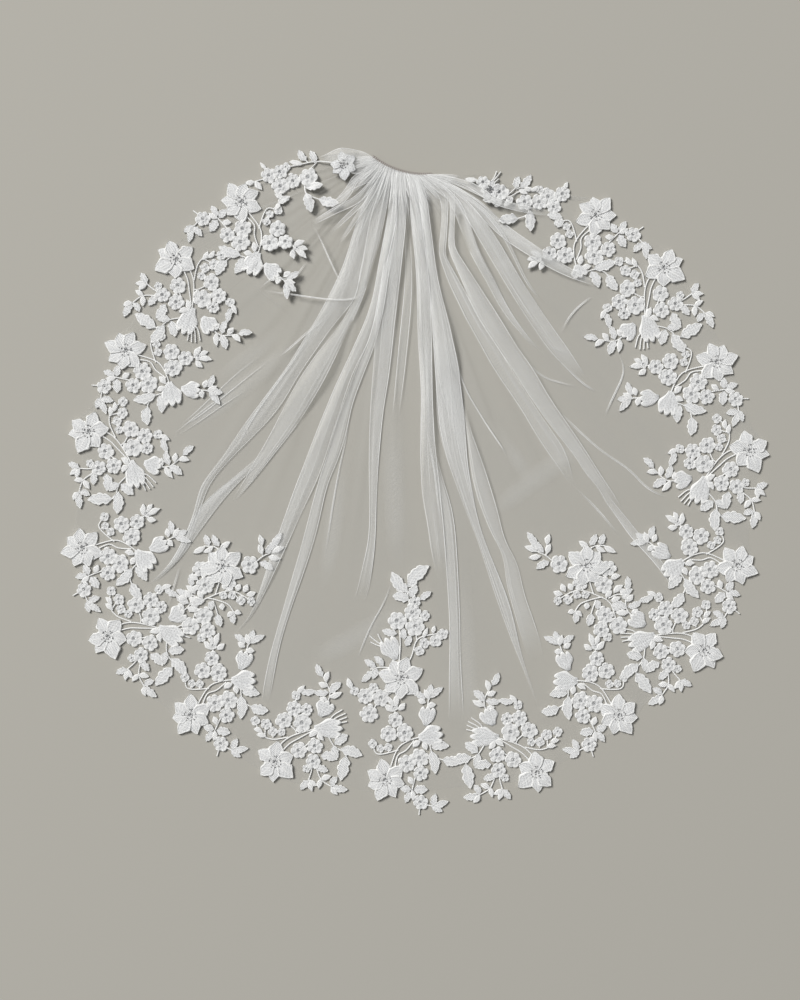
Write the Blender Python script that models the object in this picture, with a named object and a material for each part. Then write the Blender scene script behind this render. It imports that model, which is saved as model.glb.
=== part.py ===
"""Fingertip tulle veil on a small comb, laid flat: gathered net, a lace edge and three inner lace sprays.

Metres, +Z up. The origin is on the floor under the middle of the laid veil, +Y towards the comb.
Plan sizes are drawn from the middle of the net's oval and moved to the origin as each node is made.
Bearings are degrees round the oval: 0 at the bottom of the hem, positive towards +X.
"""
import math

import bmesh
import bpy
from mathutils import Matrix, Vector
from mathutils.bvhtree import BVHTree
from mathutils.geometry import delaunay_2d_cdt

MM = 0.001
LAID_MIDDLE = Vector((2.0 * MM, -9.2 * MM))  # middle of the laid veil, from the middle of its net's oval

# Net
NET_HALF_WIDTH = 500 * MM
NET_HALF_HEIGHT = 466 * MM
NET_THICKNESS = 1.0 * MM
NET_THICKEST = 2.4 * MM          # most that a steep side of a fold measures upright
NET_ROWS = 11
NET_CREASE_ANGLE = 50            # degrees; softer bends are shaded smooth
CLOSEST = 0.001 * MM             # keeps slopes finite where columns meet at the comb
ROW_CROWDING = 1.7               # above 1, rows lie closer near the comb

# Gathers
STITCHED_HEIGHT = 1.6 * MM       # ridge height on the stitched line
PUFF_LENGTH = 80 * MM            # run from the stitches to a fold's full height
MINOR_HEIGHT = 4.5 * MM          # small gathers between the main folds
MINOR_REACH = 0.42
FADE_START = 0.35                # share of a fold's reach beyond which it sinks
SPREAD_REACH = 0.50              # share of the run in which a fold opens to its full width
CREST = 0.36                     # half the flat top of a fold, as a share of its half width
STITCH_SHARE = 0.33              # half a fold on the stitched line, as a share of the fold spacing
EDGE_BEARINGS = (175, 170, 165)  # the side edges run out from the comb's ends, flat
EDGE_STITCH = 0.002

# Comb
COMB_MIDDLE = Vector((-19.6 * MM, 446.7 * MM))
COMB_TURN = math.radians(-16.7)
COMB_HALF_SPAN = 45.6 * MM
COMB_BOW = 8.5 * MM              # the back bulges towards the veil
COMB_BACK_WIDTH = 3.6 * MM
COMB_BACK_HEIGHT = 5.0 * MM
COMB_BACK_PARTS = 18
TOOTH_COUNT = 19
TOOTH_LENGTH = 38 * MM
TOOTH_WIDTH = 2.0 * MM
TOOTH_TIP_WIDTH = 1.1 * MM
TOOTH_HEIGHT = 1.8 * MM
TOOTH_UNDERSIDE = 0.1 * MM
TOOTH_ROOT_DEPTH = 0.6           # share of the back's width that the teeth run into
LIFT = 3.0 * MM                  # the net's underside over the teeth
LIFT_MARGIN = 8 * MM
LIFT_SLOPE = 55 * MM

# Lace
LACE_THICKNESS = 1.2 * MM
GAP = 0.3 * MM
CORD_WIDTH = 2.4 * MM
FLOWER_WAIST = 0.66              # petal notches, as a share of the petal tips
BLOSSOM_SIDES = 6
BUD_SIDES = 5
BUD_LIMIT = 8 * MM               # rounds smaller than this are buds
ROUND_OVERLAP = 1.13             # rounds are drawn full, so that neighbours in a cluster join
BRIDGE_RADII = [radius * MM for radius in (5, 10, 15, 20, 25)]
BRIDGE_SPOKES = 16
SMALLEST_HOLE = 5 * MM           # smaller gaps between pieces are stitched over
CDT_INSIDE = 1                   # keeps only the triangles inside an outline
WELD = 0.001 * MM
RAY_HEIGHT = 100 * MM
LEAF_BELLY = 0.45                # widest place of a leaf along its length

# Hem: how far the oval is stretched at each bearing
HEM = [
    # bearing, stretch
    (-171, 1.005), (-167, 1.020), (-150, 1.015), (-130, 0.970), (-115, 0.955), (-97, 0.980),
    (-75, 1.027), (-50, 1.057), (-30, 1.048), (-10, 1.020), (8, 1.003), (25, 1.014),
    (45, 0.990), (70, 1.010), (100, 1.000), (110, 0.990), (133, 1.015), (150, 0.980),
    (162, 0.952), (170, 0.9375), (176.5, 0.932),
]

# Main folds, from the comb towards the hem
FOLDS = [
    # bearing on the hem, reach, half width, height, bow: mm
    (-154, 0.40, 4, 2, 0),
    (-136, 0.40, 7, 5, 0),
    (-118, 0.50, 8, 7, 6),
    (-100, 0.62, 9, 7, 22),
    (-81, 0.72, 11, 8, 28),
    (-62, 0.80, 12, 9, 14),
    (-43, 0.78, 12, 9, 16),
    (-30, 0.76, 10, 8, 10),
    (-17, 0.68, 9, 7, 12),
    (-6, 0.52, 7, 7, 8),
    (7, 0.72, 9, 9, 8),
    (17, 0.60, 7, 7, -4),
    (27, 0.74, 10, 9, -16),
    (38, 0.62, 8, 7, -22),
    (50, 0.68, 11, 9, -34),
    (60, 0.76, 12, 9, -26),
    (71, 0.70, 10, 8, -10),
    (85, 0.60, 9, 7, -14),
    (103, 0.58, 9, 7, -14),
    (122, 0.46, 8, 6, -6),
    (139, 0.36, 6, 5, 0),
    (154, 0.36, 3, 2, 0),
]

# Lace sprays: where each one's large flower lies, and which of the drawings it follows
SPRAYS = [
    # name, x, y, drawing, turn, mirrored
    ("edge_01", -106, 434, "tucked", -98, False),
    ("edge_02", -253, 396, "leafy", -35, False),
    ("edge_03", -348, 312, "bell", -36, False),
    ("edge_04", -421, 180, "leafy", 0, False),
    ("edge_05", -475, 62, "bell", 0, False),
    ("edge_06", -484, -107, "leafy", 33, False),
    ("edge_07", -447, -236, "bell", 45, False),
    ("edge_08", -327, -350, "leafy", 77, False),
    ("edge_09", -204, -418, "bell", 75, False),
    ("edge_10", -44, -444, "leafy", 88, False),
    ("edge_11", 176, -433, "bell", 77, True),
    ("edge_12", 296, -350, "leafy", 76, True),
    ("edge_13", 419, -256, "bell", 52, True),
    ("edge_14", 467, -132, "leafy", 41, True),
    ("edge_15", 485, 34, "bell", 4, True),
    ("edge_16", 437, 163, "leafy", 3, True),
    ("edge_17", 361, 300, "bell", -33, True),
    ("edge_18", 262, 376, "leafy", -32, True),
    ("edge_19", 108, 412, "tucked", -92, True),
    ("inner_left", -280, -134, "inner_side", 0, False),
    ("inner_centre", -20, -296, "inner_centre", 0, False),
    ("inner_right", 248, -133, "inner_side", 0, True),
]

# Each drawing has its large flower at 0, 0. On the left of the veil +x runs in from the hem and
# +y runs up it, away from the bottom.
DRAWINGS = {
    "leafy": {
        "flower": (6, 29),
        "rounds": [
            # x, y, radius: mm
            (66, -4, 11), (68, -26, 12), (86, -12, 10), (24, -33, 12), (13, -53, 11), (34, -52, 12),
            (-31, -54, 9), (92, -56, 12),
        ],
        "leaves": [
            # base x, base y, tip x, tip y, half width: mm
            (82, -10, 100, 4, 5), (84, -14, 110, -17, 5), (62, -46, 64, -84, 9), (96, -56, 116, -48, 5),
            (98, -58, 136, -66, 6), (66, -58, 10, -74, 7), (58, -58, 50, -92, 7), (34, -66, 31, -104, 8),
            (6, -50, -36, -32, 6), (-32, -56, -38, -92, 6),
        ],
        "cords": [
            # from x, y to x, y: mm
            (15, -8, 66, -50), (46, -34, 48, 14), (24, -33, 50, -36), (10, -52, -34, -56), (60, -54, 32, -74),
            (66, -54, 96, -56), (56, -44, 88, -10),
        ],
    },
    "bell": {
        "flower": (6, 29),
        "rounds": [
            (63, 1, 11), (82, -7, 11), (65, -22, 12), (25, -30, 12), (37, -51, 11), (14, -54, 12),
            (49, 31, 7), (91, -50, 11),
        ],
        "leaves": [
            (80, -8, 122, -20, 6), (69, -42, 71, -82, 11), (96, -50, 138, -27, 6), (98, -52, 121, -62, 5),
            (44, -74, 66, -92, 7), (44, -86, -4, -99, 8), (44, -80, 41, -106, 8), (14, -52, -30, -46, 6),
            (12, -54, -13, -112, 6), (36, -24, 28, 32, 4),
        ],
        "cords": [
            (18, -8, 66, -48), (36, -20, 49, 31), (66, -54, 42, -88), (37, -50, 66, -52), (65, -22, 64, -48),
            (66, -50, 96, -50), (25, -30, 44, -30),
        ],
    },
    "tucked": {
        "flower": (6, 29),
        "rounds": [
            (25, -30, 12), (37, -51, 11), (14, -54, 12), (56, 4, 11), (60, -62, 11),
        ],
        "leaves": [
            (44, -74, 66, -92, 7), (44, -86, -4, -99, 8), (44, -80, 41, -106, 8), (14, -52, -28, -50, 6),
            (12, -54, -10, -104, 6), (52, 6, 78, -10, 6), (62, -62, 90, -48, 6),
        ],
        "cords": [
            (18, -8, 48, -58), (46, -52, 42, -88), (37, -51, 60, -62), (10, 0, 56, 4),
        ],
    },
    "inner_side": {
        "flower": (7, 30),
        "rounds": [
            (-32, -4, 12), (-26, -28, 12), (39, 2, 13), (-28, -72, 12), (-44, -88, 11), (-22, -92, 12),
            (27, -50, 7), (43, -50, 7),
        ],
        "leaves": [
            (0, 18, -44, 22, 6), (-4, 22, -26, 46, 6), (44, 2, 54, 46, 6), (46, 4, 88, 46, 7),
            (44, 2, 74, -6, 6), (10, -44, 14, -84, 6), (-22, -68, 8, -82, 7),
        ],
        "cords": [
            (-4, -20, -18, -46), (-30, -46, 43, -48), (-26, -28, -28, -72), (6, -20, 10, -48),
        ],
    },
    "inner_centre": {
        "flower": (6, 32),
        "rounds": [
            (-17, 43, 14), (-6, 83, 12), (16, 95, 12), (19, 73, 13), (-53, -26, 11), (-31, -30, 12),
            (-48, -46, 12), (58, 64, 8), (26, 40, 7),
        ],
        "leaves": [
            (10, 112, -15, 153, 9), (10, 118, 39, 161, 10), (14, 98, -14, 118, 7), (18, 98, 44, 124, 6),
            (-10, 56, -30, 70, 6), (-12, 8, -54, 27, 6), (-16, 4, -60, -10, 6), (-52, -24, -79, 0, 6),
        ],
        "cords": [
            (8, 20, 22, 60), (22, 56, 58, 64), (-8, 20, -4, 82), (14, 96, 9, 126), (-8, -20, -28, -34),
            (24, 40, 14, 38), (-30, -32, -48, -44),
        ],
    },
}

COLOURS = {
    # name: (colour, roughness)
    "net": ((0.62, 0.60, 0.56, 1.0), 0.75),
    "comb": ((0.74, 0.62, 0.55, 1.0), 0.35),
    "lace": ((0.80, 0.80, 0.78, 1.0), 0.8),
}


def smooth(value):
    """0 to 1 with soft ends."""
    value = min(1.0, max(0.0, value))
    return value * value * (3 - 2 * value)


def comb_axes():
    """Directions along the comb and from it towards the veil."""
    along = Vector((math.cos(COMB_TURN), math.sin(COMB_TURN)))
    veil_side = Vector((along.y, -along.x))
    return along, veil_side


def comb_point(share, outward=0.0):
    """A point of the stitched line, share 0 at its left end and 1 at its right, moved off away from the veil."""
    along, veil_side = comb_axes()
    radius = (COMB_HALF_SPAN ** 2 + COMB_BOW ** 2) / (2 * COMB_BOW)
    centre = COMB_MIDDLE - veil_side * (radius - COMB_BOW)
    angle = (2 * share - 1) * math.asin(COMB_HALF_SPAN / radius)
    return centre + (along * math.sin(angle) + veil_side * math.cos(angle)) * (radius - outward)


def hem_point(bearing):
    """A point of the hem: the oval, stretched as the hem table says."""
    bearing = min(HEM[-1][0], max(HEM[0][0], bearing))
    for (start, first), (end, second) in zip(HEM, HEM[1:]):
        if bearing <= end:
            break
    stretch = first + (second - first) * smooth((bearing - start) / (end - start))
    angle = math.radians(bearing)
    return Vector((NET_HALF_WIDTH * math.sin(angle), -NET_HALF_HEIGHT * math.cos(angle))) * stretch


def comb_lift(place):
    """How high the net's underside rides over the comb's teeth."""
    along, veil_side = comb_axes()
    offset = place - COMB_MIDDLE
    beside = max(0.0, abs(offset.dot(along)) - COMB_HALF_SPAN)
    across = offset.dot(veil_side)
    beyond = max(0.0, across - TOOTH_LENGTH - COMB_BOW, -across)
    distance = math.hypot(beside, beyond)
    return LIFT * (1 - smooth((distance - LIFT_MARGIN) / LIFT_SLOPE))


def run_point(start, end, bow, share):
    """A fold's middle line in plan: a soft bend from the comb to the hem."""
    side = Vector((start.y - end.y, end.x - start.x)).normalized()
    middle = (start + end) / 2 + side * (2 * bow)
    place = start * (1 - share) ** 2 + middle * (2 * share * (1 - share)) + end * share ** 2
    heading = ((middle - start) * (1 - share) + (end - middle) * share).normalized()
    return place, Vector((-heading.y, heading.x))


def fold_height(share, run, reach, height):
    """A ridge's height along its run: low at the stitches, full where it puffs, flat past its reach."""
    puff = smooth(share * run / PUFF_LENGTH)
    fade = 1 - smooth((share / reach - FADE_START) / (1 - FADE_START))
    return (STITCHED_HEIGHT * (1 - puff) + height * puff) * fade


def net_columns():
    """Plan point and ridge height of every column and row of the net, from its left edge to its right."""
    count = len(FOLDS)
    shares = [(row / NET_ROWS) ** ROW_CROWDING for row in range(NET_ROWS + 1)]
    columns = []

    def flat_column(stitch, bearing, bow, height):
        start, end = comb_point(stitch), hem_point(bearing)
        run = (end - start).length
        column = []
        for share in shares:
            place, _ = run_point(start, end, bow * MM, share)
            ridge = fold_height(share, run, MINOR_REACH, height) if height else 0.0
            column.append((place, ridge))
        columns.append(column)

    for step, bearing in enumerate(EDGE_BEARINGS):
        flat_column(step * EDGE_STITCH, -bearing, 0, 0)
    for index, (bearing, reach, half_width, height, bow) in enumerate(FOLDS):
        middle_stitch = (index + 0.5) / count
        start, end = comb_point(middle_stitch), hem_point(bearing)
        run = (end - start).length
        for part, crest in ((-1, 0), (-CREST, 1), (CREST, 1), (1, 0)):
            stitch_offset = comb_point(middle_stitch + STITCH_SHARE * part / count) - start
            column = []
            for share in shares:
                place, side = run_point(start, end, bow * MM, share)
                opened = smooth(share / SPREAD_REACH)
                offset = stitch_offset * (1 - opened) + side * (part * half_width * MM * opened)
                ridge = fold_height(share, run, reach, height * MM) * crest
                column.append((place + offset, ridge))
            columns.append(column)
        if index + 1 < count:
            following = FOLDS[index + 1]
            flat_column((index + 1) / count, (bearing + following[0]) / 2, (bow + following[4]) / 2, MINOR_HEIGHT)
    for step, bearing in reversed(list(enumerate(EDGE_BEARINGS))):
        flat_column(1 - step * EDGE_STITCH, bearing, 0, 0)
    return columns


def net_mesh():
    """The net as a wall: an upper and a lower sheet that share their plan, joined round the edge."""
    columns = net_columns()
    last_column, last_row = len(columns) - 1, NET_ROWS
    plan = [[column[row][0] for row in range(last_row + 1)] for column in columns]
    lower = [[comb_lift(place) + ridge for place, ridge in column] for column in columns]
    upper = []
    for c in range(last_column + 1):
        beside = [side for side in (c - 1, c + 1) if 0 <= side <= last_column]
        heights = []
        for r in range(last_row + 1):
            slope = max(
                abs(lower[c][r] - lower[side][r]) / max((plan[c][r] - plan[side][r]).length, CLOSEST)
                for side in beside
            )
            upright = NET_THICKNESS * math.sqrt(1 + slope * slope)
            heights.append(lower[c][r] + min(upright, NET_THICKEST))
        upper.append(heights)

    mesh = bmesh.new()
    grids = []
    for heights in (lower, upper):
        grids.append([
            [mesh.verts.new((plan[c][r].x, plan[c][r].y, heights[c][r])) for r in range(last_row + 1)]
            for c in range(last_column + 1)
        ])
    below, above = grids
    for c in range(last_column):
        for r in range(last_row):
            corners = ((c, r), (c, r + 1), (c + 1, r + 1), (c + 1, r))
            mesh.faces.new([above[i][j] for i, j in corners])
            mesh.faces.new([below[i][j] for i, j in reversed(corners)])
    rim = [(c, 0) for c in range(last_column + 1)]
    rim += [(last_column, r) for r in range(1, last_row + 1)]
    rim += [(c, last_row) for c in range(last_column - 1, -1, -1)]
    rim += [(0, r) for r in range(last_row - 1, 0, -1)]
    for (i, j), (k, m) in zip(rim, rim[1:] + rim[:1]):
        mesh.faces.new([above[i][j], above[k][m], below[k][m], below[i][j]])
    bmesh.ops.triangulate(mesh, faces=mesh.faces[:])
    bmesh.ops.recalc_face_normals(mesh, faces=mesh.faces[:])
    return mesh


def flower_outline(petals, radius):
    """Petal tips and the notches between them."""
    points = []
    for step in range(2 * petals):
        reach = radius * (1 if step % 2 == 0 else FLOWER_WAIST)
        angle = math.pi * step / petals
        points.append((reach * math.cos(angle), reach * math.sin(angle)))
    return points


def round_outline(x, y, radius):
    """A small blossom or bud."""
    sides = BUD_SIDES if radius < BUD_LIMIT else BLOSSOM_SIDES
    full = radius * ROUND_OVERLAP
    return [
        (x + full * math.cos(2 * math.pi * side / sides), y + full * math.sin(2 * math.pi * side / sides))
        for side in range(sides)
    ]


def leaf_outline(base_x, base_y, tip_x, tip_y, half_width):
    """A pointed leaf or a bell-shaped blossom."""
    base, tip = Vector((base_x, base_y)), Vector((tip_x, tip_y))
    belly = base.lerp(tip, LEAF_BELLY)
    side = Vector((base.y - tip.y, tip.x - base.x)).normalized() * half_width
    return [base, belly - side, tip, belly + side]


def cord_outline(start_x, start_y, end_x, end_y):
    """A stem."""
    start, end = Vector((start_x, start_y)), Vector((end_x, end_y))
    side = Vector((start.y - end.y, end.x - start.x)).normalized() * (CORD_WIDTH / 2)
    return [start - side, end - side, end + side, start + side]


def drawing_outlines(drawing):
    """Every piece of a spray as an outline in metres, still overlapping."""
    outlines = [flower_outline(*drawing["flower"])]
    outlines += [round_outline(*row) for row in drawing["rounds"]]
    outlines += [leaf_outline(*row) for row in drawing["leaves"]]
    outlines = [[Vector(point) * MM for point in outline] for outline in outlines]
    outlines += [cord_outline(*(value * MM for value in row)) for row in drawing["cords"]]
    return outlines


def fill_pinholes(mesh):
    """Close each hole of a flat mesh that is too small to be cut in lace."""
    waiting = {edge for edge in mesh.edges if edge.is_boundary}
    while waiting:
        loop = [waiting.pop()]
        growing = [loop[0]]
        while growing:
            edge = growing.pop()
            for vert in edge.verts:
                for other in vert.link_edges:
                    if other in waiting:
                        waiting.remove(other)
                        loop.append(other)
                        growing.append(other)
        xs = [vert.co.x for edge in loop for vert in edge.verts]
        ys = [vert.co.y for edge in loop for vert in edge.verts]
        if max(max(xs) - min(xs), max(ys) - min(ys)) < SMALLEST_HOLE:
            bmesh.ops.holes_fill(mesh, edges=loop, sides=0)


def net_top(net_tree, place):
    """The net's highest point at a place and closely round it, so that stiff lace bridges a fold."""
    highest = NET_THICKNESS
    offsets = [Vector((0, 0, 0))]
    for radius in BRIDGE_RADII:
        for spoke in range(BRIDGE_SPOKES):
            angle = 2 * math.pi * spoke / BRIDGE_SPOKES
            offsets.append(Vector((radius * math.cos(angle), radius * math.sin(angle), 0)))
    for offset in offsets:
        start = Vector((place.x + offset.x, place.y + offset.y, RAY_HEIGHT))
        hit = net_tree.ray_cast(start, Vector((0, 0, -1)))[0]
        if hit:
            highest = max(highest, hit.z)
    return highest


def spray_mesh(x, y, drawing, turn, mirrored, net_tree):
    """One spray: its outlines laid out and united in plan, then raised to the lace's thickness on the net."""
    placing = Matrix.Rotation(math.radians(turn), 2)
    points, faces = [], []
    for outline in drawing_outlines(DRAWINGS[drawing]):
        placed = [placing @ point for point in outline]
        if mirrored:
            placed = [Vector((-point.x, point.y)) for point in reversed(placed)]
        faces.append(list(range(len(points), len(points) + len(placed))))
        points += [point + Vector((x, y)) * MM for point in placed]
    united, _, triangles, _, _, _ = delaunay_2d_cdt(points, [], faces, CDT_INSIDE, WELD)

    mesh = bmesh.new()
    flat = [mesh.verts.new((point.x, point.y, 0)) for point in united]
    for triangle in triangles:
        mesh.faces.new([flat[index] for index in triangle])
    bmesh.ops.delete(mesh, geom=[vert for vert in mesh.verts if not vert.link_faces], context="VERTS")
    fill_pinholes(mesh)
    bmesh.ops.dissolve_limit(
        mesh, angle_limit=math.radians(1), verts=mesh.verts[:], edges=mesh.edges[:], use_dissolve_boundaries=False
    )
    bmesh.ops.triangulate(mesh, faces=mesh.faces[:])
    for vert in mesh.verts:
        vert.co.z = net_top(net_tree, vert.co) + GAP
    raised = bmesh.ops.extrude_face_region(mesh, geom=mesh.faces[:])
    top = [item for item in raised["geom"] if isinstance(item, bmesh.types.BMVert)]
    bmesh.ops.translate(mesh, verts=top, vec=(0, 0, LACE_THICKNESS))
    bmesh.ops.triangulate(mesh, faces=mesh.faces[:])
    bmesh.ops.recalc_face_normals(mesh, faces=mesh.faces[:])
    return mesh


def comb_back_mesh():
    """The comb's back: a bar bent along the stitched line, standing on the floor behind the net's edge."""
    mesh = bmesh.new()
    rings = []
    for part in range(COMB_BACK_PARTS + 1):
        share = part / COMB_BACK_PARTS
        near = comb_point(share, GAP)
        far = comb_point(share, GAP + COMB_BACK_WIDTH)
        rings.append([
            mesh.verts.new((place.x, place.y, height))
            for place, height in ((near, 0), (far, 0), (far, COMB_BACK_HEIGHT), (near, COMB_BACK_HEIGHT))
        ])
    for first, second in zip(rings, rings[1:]):
        for side in range(4):
            following = (side + 1) % 4
            mesh.faces.new([first[side], first[following], second[following], second[side]])
    mesh.faces.new(rings[0])
    mesh.faces.new(reversed(rings[-1]))
    bmesh.ops.recalc_face_normals(mesh, faces=mesh.faces[:])
    return mesh


def comb_teeth_mesh():
    """The teeth lie on the floor under the gathers, all along one direction, their roots inside the back."""
    along, veil_side = comb_axes()
    mesh = bmesh.new()
    for tooth in range(TOOTH_COUNT):
        share = (tooth + 0.5) / TOOTH_COUNT
        root = comb_point(share, GAP + COMB_BACK_WIDTH * TOOTH_ROOT_DEPTH)
        reach = (root - COMB_MIDDLE).dot(veil_side)
        tip = root + veil_side * (TOOTH_LENGTH - reach)
        outline = [
            root - along * TOOTH_WIDTH / 2,
            root + along * TOOTH_WIDTH / 2,
            tip + along * TOOTH_TIP_WIDTH / 2,
            tip - along * TOOTH_TIP_WIDTH / 2,
        ]
        low = [mesh.verts.new((place.x, place.y, TOOTH_UNDERSIDE)) for place in outline]
        high = [mesh.verts.new((place.x, place.y, TOOTH_HEIGHT)) for place in outline]
        mesh.faces.new(low)
        mesh.faces.new(reversed(high))
        for side in range(4):
            following = (side + 1) % 4
            mesh.faces.new([low[side], low[following], high[following], high[side]])
    bmesh.ops.recalc_face_normals(mesh, faces=mesh.faces[:])
    return mesh


def material(name):
    """The named material, made once."""
    existing = bpy.data.materials.get(name)
    if existing:
        return existing
    colour, roughness = COLOURS[name]
    made = bpy.data.materials.new(name)
    made.use_nodes = True
    made.diffuse_color = colour
    shader = made.node_tree.nodes["Principled BSDF"]
    shader.inputs["Base Color"].default_value = colour
    shader.inputs["Roughness"].default_value = roughness
    shader.inputs["Metallic"].default_value = 0.0
    return made


def add_object(name, mesh, material_name):
    """An object of one node, made from a bmesh and its material."""
    bmesh.ops.translate(mesh, verts=mesh.verts[:], vec=(-LAID_MIDDLE.x, -LAID_MIDDLE.y, 0))
    data = bpy.data.meshes.new(name)
    mesh.to_mesh(data)
    mesh.free()
    data.materials.append(material(material_name))
    made = bpy.data.objects.new(name, data)
    bpy.context.scene.collection.objects.link(made)
    return made


def build_net():
    """The net, and its surface for the lace to lie on."""
    mesh = net_mesh()
    tree = BVHTree.FromBMesh(mesh)
    made = add_object("tulle", mesh, "net")
    made.data.shade_smooth()
    made.data.set_sharp_from_angle(angle=math.radians(NET_CREASE_ANGLE))
    return tree


def build_comb():
    """The comb as one solid: its back united with the teeth."""
    comb = add_object("comb", comb_back_mesh(), "comb")
    teeth = add_object("comb_teeth_guide", comb_teeth_mesh(), "comb")
    teeth.hide_render = True
    teeth.display_type = "WIRE"
    union = comb.modifiers.new("teeth", "BOOLEAN")
    union.operation = "UNION"
    union.solver = "EXACT"
    union.object = teeth


def build_lace(net_tree):
    """Each lace spray as a node of its own."""
    for name, x, y, drawing, turn, mirrored in SPRAYS:
        add_object("applique_" + name, spray_mesh(x, y, drawing, turn, mirrored, net_tree), "lace")


def main():
    """The whole veil."""
    for item in list(bpy.data.objects):
        bpy.data.objects.remove(item)
    net_tree = build_net()
    build_comb()
    build_lace(net_tree)


main()
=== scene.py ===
"""The look of the laid veil: sheer gathered tulle with flattened folds, raised flower lace and the comb.

Places on the veil are read off the picture in its own units, 800 wide and 1000 high, and turned into metres.
Lace drawings are in millimetres, each with its large flower at 0, 0.
"""
import math

import bpy
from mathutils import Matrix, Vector, noise
from mathutils.bvhtree import BVHTree


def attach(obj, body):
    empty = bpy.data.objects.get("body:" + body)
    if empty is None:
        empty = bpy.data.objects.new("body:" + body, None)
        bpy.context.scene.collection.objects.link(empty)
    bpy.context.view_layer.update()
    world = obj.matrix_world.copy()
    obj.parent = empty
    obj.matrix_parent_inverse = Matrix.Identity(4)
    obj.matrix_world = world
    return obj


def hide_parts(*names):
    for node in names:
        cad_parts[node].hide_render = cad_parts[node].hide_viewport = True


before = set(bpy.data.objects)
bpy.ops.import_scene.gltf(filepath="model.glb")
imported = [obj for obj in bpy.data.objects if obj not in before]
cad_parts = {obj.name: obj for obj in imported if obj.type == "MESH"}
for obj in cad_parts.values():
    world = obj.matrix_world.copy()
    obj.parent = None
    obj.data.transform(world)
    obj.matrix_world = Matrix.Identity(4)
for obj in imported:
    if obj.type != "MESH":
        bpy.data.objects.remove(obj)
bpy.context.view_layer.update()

MM = 0.001
UNIT = 0.001455                  # metres in one unit of the picture
PICTURE_HEIGHT = 1000
MIDDLE = (415.5, 474.0)          # picture place of the middle of the net's oval
LAID_MIDDLE = (0.0020, -0.0092)  # middle of the laid veil from there, metres
RAY_HEIGHT = 0.1
DOWN = Vector((0, 0, -1))

# Comb, in the part's own sizes
COMB_MIDDLE = Vector((-21.6 * MM, 455.9 * MM))
COMB_TURN = math.radians(-16.7)
COMB_HALF_SPAN = 45.6 * MM
COMB_BOW = 8.5 * MM
STITCH_COUNT = 30
STITCH_STEPS = 10
STITCH_LEAN = 0.006              # share of the comb that one stitch leans over
THREAD_HALF_WIDTH = 0.35 * MM

# Hem, in the part's own sizes
OVAL = (500 * MM, 466 * MM)
HEM = [
    # bearing, stretch
    (-171, 1.005), (-167, 1.020), (-150, 1.015), (-130, 0.970), (-115, 0.955), (-97, 0.980), (-75, 1.027),
    (-50, 1.057), (-30, 1.048), (-10, 1.020), (8, 1.003), (25, 1.014), (45, 0.990), (70, 1.010), (100, 1.000),
    (110, 0.990), (133, 1.015), (150, 0.980), (162, 0.952), (170, 0.9375), (176.5, 0.932),
]
STITCHES = [
    # share of the comb, bearing on the hem
    (0.0, -171), (0.02, -154), (0.07, -136), (0.11, -118), (0.16, -100), (0.20, -81), (0.25, -62),
    (0.30, -43), (0.34, -30), (0.39, -17), (0.43, -6), (0.48, 7), (0.52, 17), (0.57, 27), (0.61, 38),
    (0.66, 50), (0.70, 60), (0.75, 71), (0.80, 85), (0.84, 103), (0.89, 122), (0.93, 139), (0.98, 154),
    (1.0, 176.5),
]
SCALLOP_REACH = 0.09             # how near an edge flower is that the hem bulges round
SCALLOP_MARGIN = 24 * MM
SCALLOP_LIMIT = 0.034
TRIM_STEP = 0.004                # shares of the distance from the middle to the hem
TRIM_LIMIT = 0.80
TRIM_MARGIN = 0.008
TRIM_SPREAD = 5                  # columns

# Sheet
NET_COLUMNS = 420
NET_ROWS = 84
ROW_CROWDING = 1.35              # above 1, rows lie closer near the comb
GATHERS = 46
SHEET_WIDTH = 1.75               # metres across the flat sheet
RUFFLE_HEIGHT = 3.2 * MM
RUFFLE_START = 0.05              # metres from the stitches
RUFFLE_FADE = 0.24
SWELL_HEIGHT = 2.5 * MM          # of the broad soft swells in the open net
SWELL_SCALE = 9

# Tucks
FOLD_STEPS = 7                   # places between two rows of a fold's table
GATHER_STEPS = 5
GATHER_WIDTHS = (1.6, 2.8, 3.8, 3.6, 2.4, 0.8)  # picture units, from the comb on
GATHER_HEIGHT = 4.5
FOLD_RUN = 0.006                 # cloth coordinate from one place of a tuck to the next
ACROSS = (-1, -0.86, -0.5, 0, 0.5, 0.86, 1)
ARCH = (0.05, 0.45, 0.85, 1.0, 0.85, 0.45, 0.05)
SOFT_SIDES = (0.0, 0.30, 0.80, 1.0, 0.80, 0.30, 0.0)
EVENING = 4                      # places to each side that even out a curve
SEWN_REACH = 0.06                # a tuck that starts nearer the comb's middle is sewn to it
EDGE_PLACE = 0.96                # of a tuck's half width
EDGE_HALF_WIDTH = 0.48 * MM

# Net: the share of the light that one layer holds back
SHEET_SHARE = 0.075
COMB_SHARE = 0.40                # more of it in the sheet's rows at the comb
FOLD_SHARE = 0.135
EDGE_SHARE = 1.7
LINE_SHARE = 0.42
NEAR_SHARE = 2.0                 # the net lies closer near the comb
FAR_SHARE = 1.15
THREAD_SHARE = 1.7               # over a thread
CELL_SHARE = 0.45                # inside a cell
# The net's white, and a darker colour for the open sheet away from the comb, which is painted shade
NET_WHITE = (0.90, 0.905, 0.90)
NET_PAINTED_SHADE = (0.62, 0.62, 0.61)
NET_CELLS = 620
NET_PATCHES = 14

# Lace
LACE_THICKNESS = 1.2 * MM
LACE_RELIEF = 1.2
LACE_THREAD = (0.80, 0.80, 0.79)  # where no pattern is read
LACE_CORD = (0.91, 0.91, 0.90)
LACE_FILLING = (0.75, 0.76, 0.77)
LACE_PIT = (0.54, 0.545, 0.55)
BEAD_SIZE = (1.15 * MM, 0.75 * MM, 0.7 * MM)
BELL_ROWS = 12
BELL_COLUMNS = 25

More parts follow.
